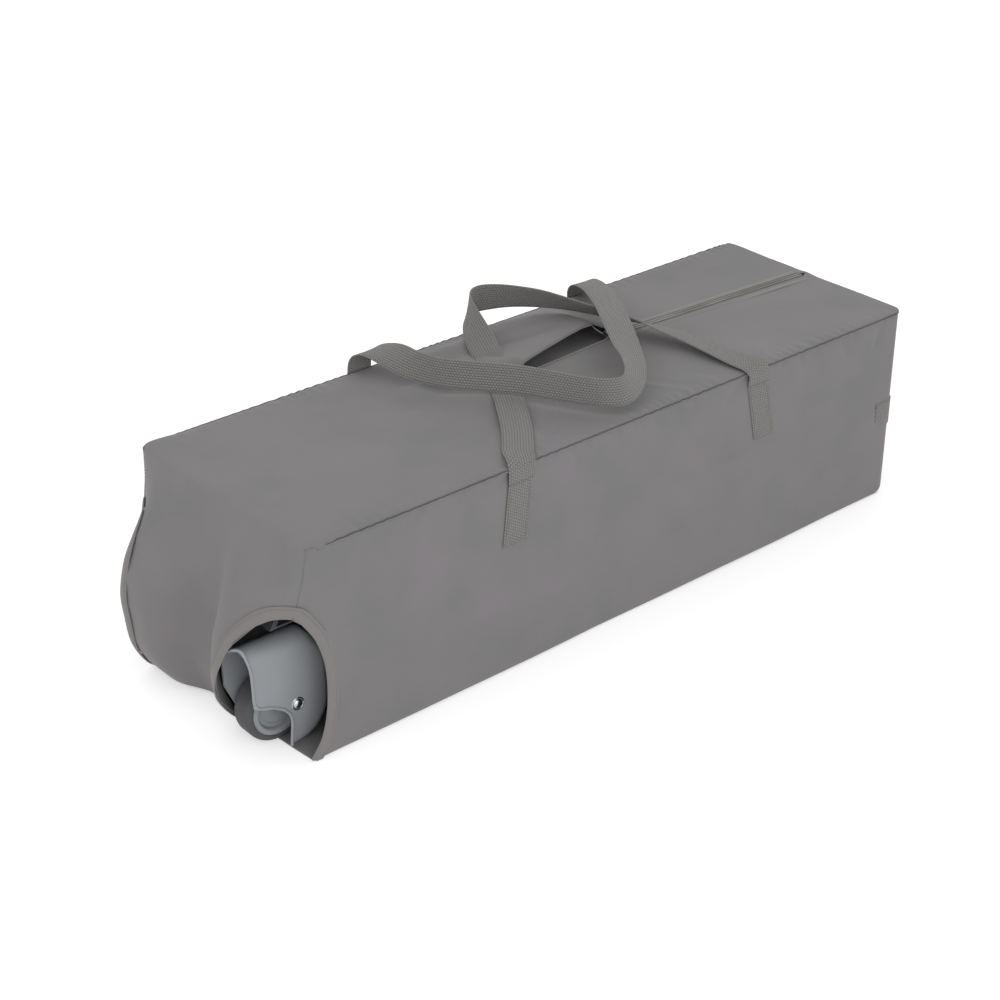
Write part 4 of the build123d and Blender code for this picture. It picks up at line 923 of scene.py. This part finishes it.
for part in ("bottom", "top", "side_near", "side_far"):
    pad(f"mattress_panel_{part}", f"mattress_{part}")


# ---- hood beads
def bead(name, points, radius):
    """A round bead along a moulded edge: a circle carried along a smooth path."""
    path = smooth_path(points, 1.5)
    heading = heading_of(path)
    across = unit(np.cross(heading, [[0.0, 1.0, 0.2]]))
    points, faces = carry_profile(path, across, np.cross(across, heading), circle(radius, 12))
    make_piece(name, points, faces, "bag", hood_plastic, "grey_plastic")


HOOD_EDGE = (
    (-442.5, 56, 101), (-442.5, 70, 110.5), (-442.3, 84, 119), (-440.5, 94, 121.5), (-438, 98.8, 112),
    (-435.6, 99.8, 100), (-434.6, 100, 80), (-434, 100, 66), (-429.5, 100, 59.8), (-420, 100, 56.3),
    (-411, 100, 52), (-401, 100, 44.5), (-395.6, 100, 34), (-396.3, 100, 18), (-397.5, 100, 5),
)
for side, label in SIDES:
    bead(f"hood_edge_bead_{label}", [(x, side * y, z) for x, y, z in HOOD_EDGE], 1.5)

# The rivets' middle in x and z, and how far out the hood stands there.
RIVET = (-388.5, 47.0, 99.9)


def rivet_heads():
    """Two domed rivet heads turned about their middle: a rim 0.6 mm high, a dip, then a dome 2.1 mm high."""
    dome = np.r_[0.01, np.linspace(0.4, 4.5, 12)]
    radius = np.r_[dome, 4.6, 5.0, 5.7, 6.2, 6.7, 6.9]
    height = np.r_[1.7 * np.sqrt(1 - (dome / 4.6) ** 2) + 0.4, 0.2, -0.1, 0.5, 0.6, 0.45, -0.6]
    angle = np.linspace(0, 2 * pi, 40, endpoint=False)
    x = RIVET[0] + radius[:, None] * np.cos(angle)
    z = RIVET[1] + radius[:, None] * np.sin(angle)
    y = (RIVET[2] + height)[:, None] + 0 * x
    near = np.stack([x, -y, z], -1).reshape(-1, 3)
    near_faces = tube_faces(len(radius), len(angle))
    far_faces = [[k + len(near) for k in face[::-1]] for face in near_faces]
    return np.vstack([near, near * (1, -1, 1)]), near_faces + far_faces


make_piece("hood_rivet_heads", *rivet_heads(), "bag", rivet_steel, "bright_steel", ("hood_rivets",))


# ---- finishes of the CAD nodes
FINISHES = (
    (zip_metal, ("zip_slider", "zip_puller")),
    (hook_tape, ("mattress_straps", "base_pull_strap")),
    (mesh_fabric, ("side_fabric",)),
    (button_plastic, ("latch_button",)),
    (dark_plastic, ("latch", "corner_cap", "plain_foot", "base_hub")),
    (tube_paint, ("corner_post", "short_rail", "long_rail", "base_legs")),
    (hood_plastic, ("wheel_hub", "wheel_hood")),
    (tyre_rubber, ("tyre",)),
    (rivet_steel, ("wheel_axles",)),
)
for node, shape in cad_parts.items():
    finish = next((made for made, starts in FINISHES if node.startswith(starts)), None)
    if finish is not None:
        shape.data.materials.clear()
        shape.data.materials.append(finish)


# ---- stage, lamps and camera
FLOOR_GLOW = 0.46           # what the floor adds for the camera, so that it is white outside the shadow
ROOM_LIGHT = 0.68
CAMERA_PLACE = (-1.21805, -1.34922, 1.07728)
CAMERA_TARGET = (-0.0635, 0.0, 0.09792)

floor_mesh = bpy.data.meshes.new("floor")
reach = 6.0
floor_corners = [(x * reach, y * reach, 0) for x, y in ((-1, -1), (1, -1), (1, 1), (-1, 1))]
floor_mesh.from_pydata(floor_corners, [], [(0, 1, 2, 3)])
pale, tree, shader = start_material("pale_floor", {
    "Base Color": linear("EFEFEF"), "Roughness": 0.9, "Specular IOR Level": 0.1,
    "Emission Color": linear("FFFFFF")})
rays = add_node(tree, "LightPath")
glow = add_node(tree, "Math", {0: rays.outputs["Is Camera Ray"], 1: rays.outputs["Is Glossy Ray"]},
                operation="MAXIMUM")
lift = add_node(tree, "Math", {0: glow.outputs[0], 1: FLOOR_GLOW}, operation="MULTIPLY")
set_inputs(shader, {"Emission Strength": lift.outputs[0]})
floor_mesh.materials.append(pale)
place_object("floor", floor_mesh)

world = bpy.data.worlds.new("studio")
bpy.context.scene.world = world
world.use_nodes = True
tree = world.node_tree
plain = tree.nodes["Background"]
set_inputs(plain, {"Color": linear("FFFFFF"), "Strength": ROOM_LIGHT})
white = add_node(tree, "Background", {"Color": linear("FFFFFF"), "Strength": 1.0})
seen = add_node(tree, "LightPath")
either = add_node(tree, "Math", {0: seen.outputs["Is Camera Ray"], 1: seen.outputs["Is Glossy Ray"]},
                  operation="MAXIMUM")
either = add_node(tree, "Math", {0: either.outputs[0], 1: seen.outputs["Is Transmission Ray"]},
                  operation="MAXIMUM")
mix = add_node(tree, "MixShader", {0: either.outputs[0], 1: plain.outputs[0], 2: white.outputs[0]})
set_inputs(tree.nodes["World Output"], {"Surface": mix.outputs[0]})


def soft_lamp(name, place, size, power):
    """A large square lamp aimed at the bag's middle, its size in metres and its power in watts."""
    lamp = bpy.data.lights.new(name, "AREA")
    lamp.size = size
    lamp.energy = power
    aim(place_object(name, lamp), place, (0, 0, 0.1))


def aim(thing, place, target):
    """Places a lamp or camera and turns its -Z axis to the target, level with the horizon."""
    thing.location = place
    thing.rotation_euler = (Vector(target) - Vector(place)).to_track_quat("-Z", "Y").to_euler()


soft_lamp("softbox_above", (-1.2, 0.2, 2.4), 2.2, 6)
soft_lamp("softbox_front", (-1.2, -2.7, 1.2), 2.0, 25)

camera = bpy.data.cameras.new("camera")
camera.lens = 72.0
camera.sensor_width = 36.0
bpy.context.scene.camera = place_object("camera", camera)
aim(bpy.context.scene.camera, CAMERA_PLACE, CAMERA_TARGET)
bpy.context.scene.view_settings.view_transform = "Standard"
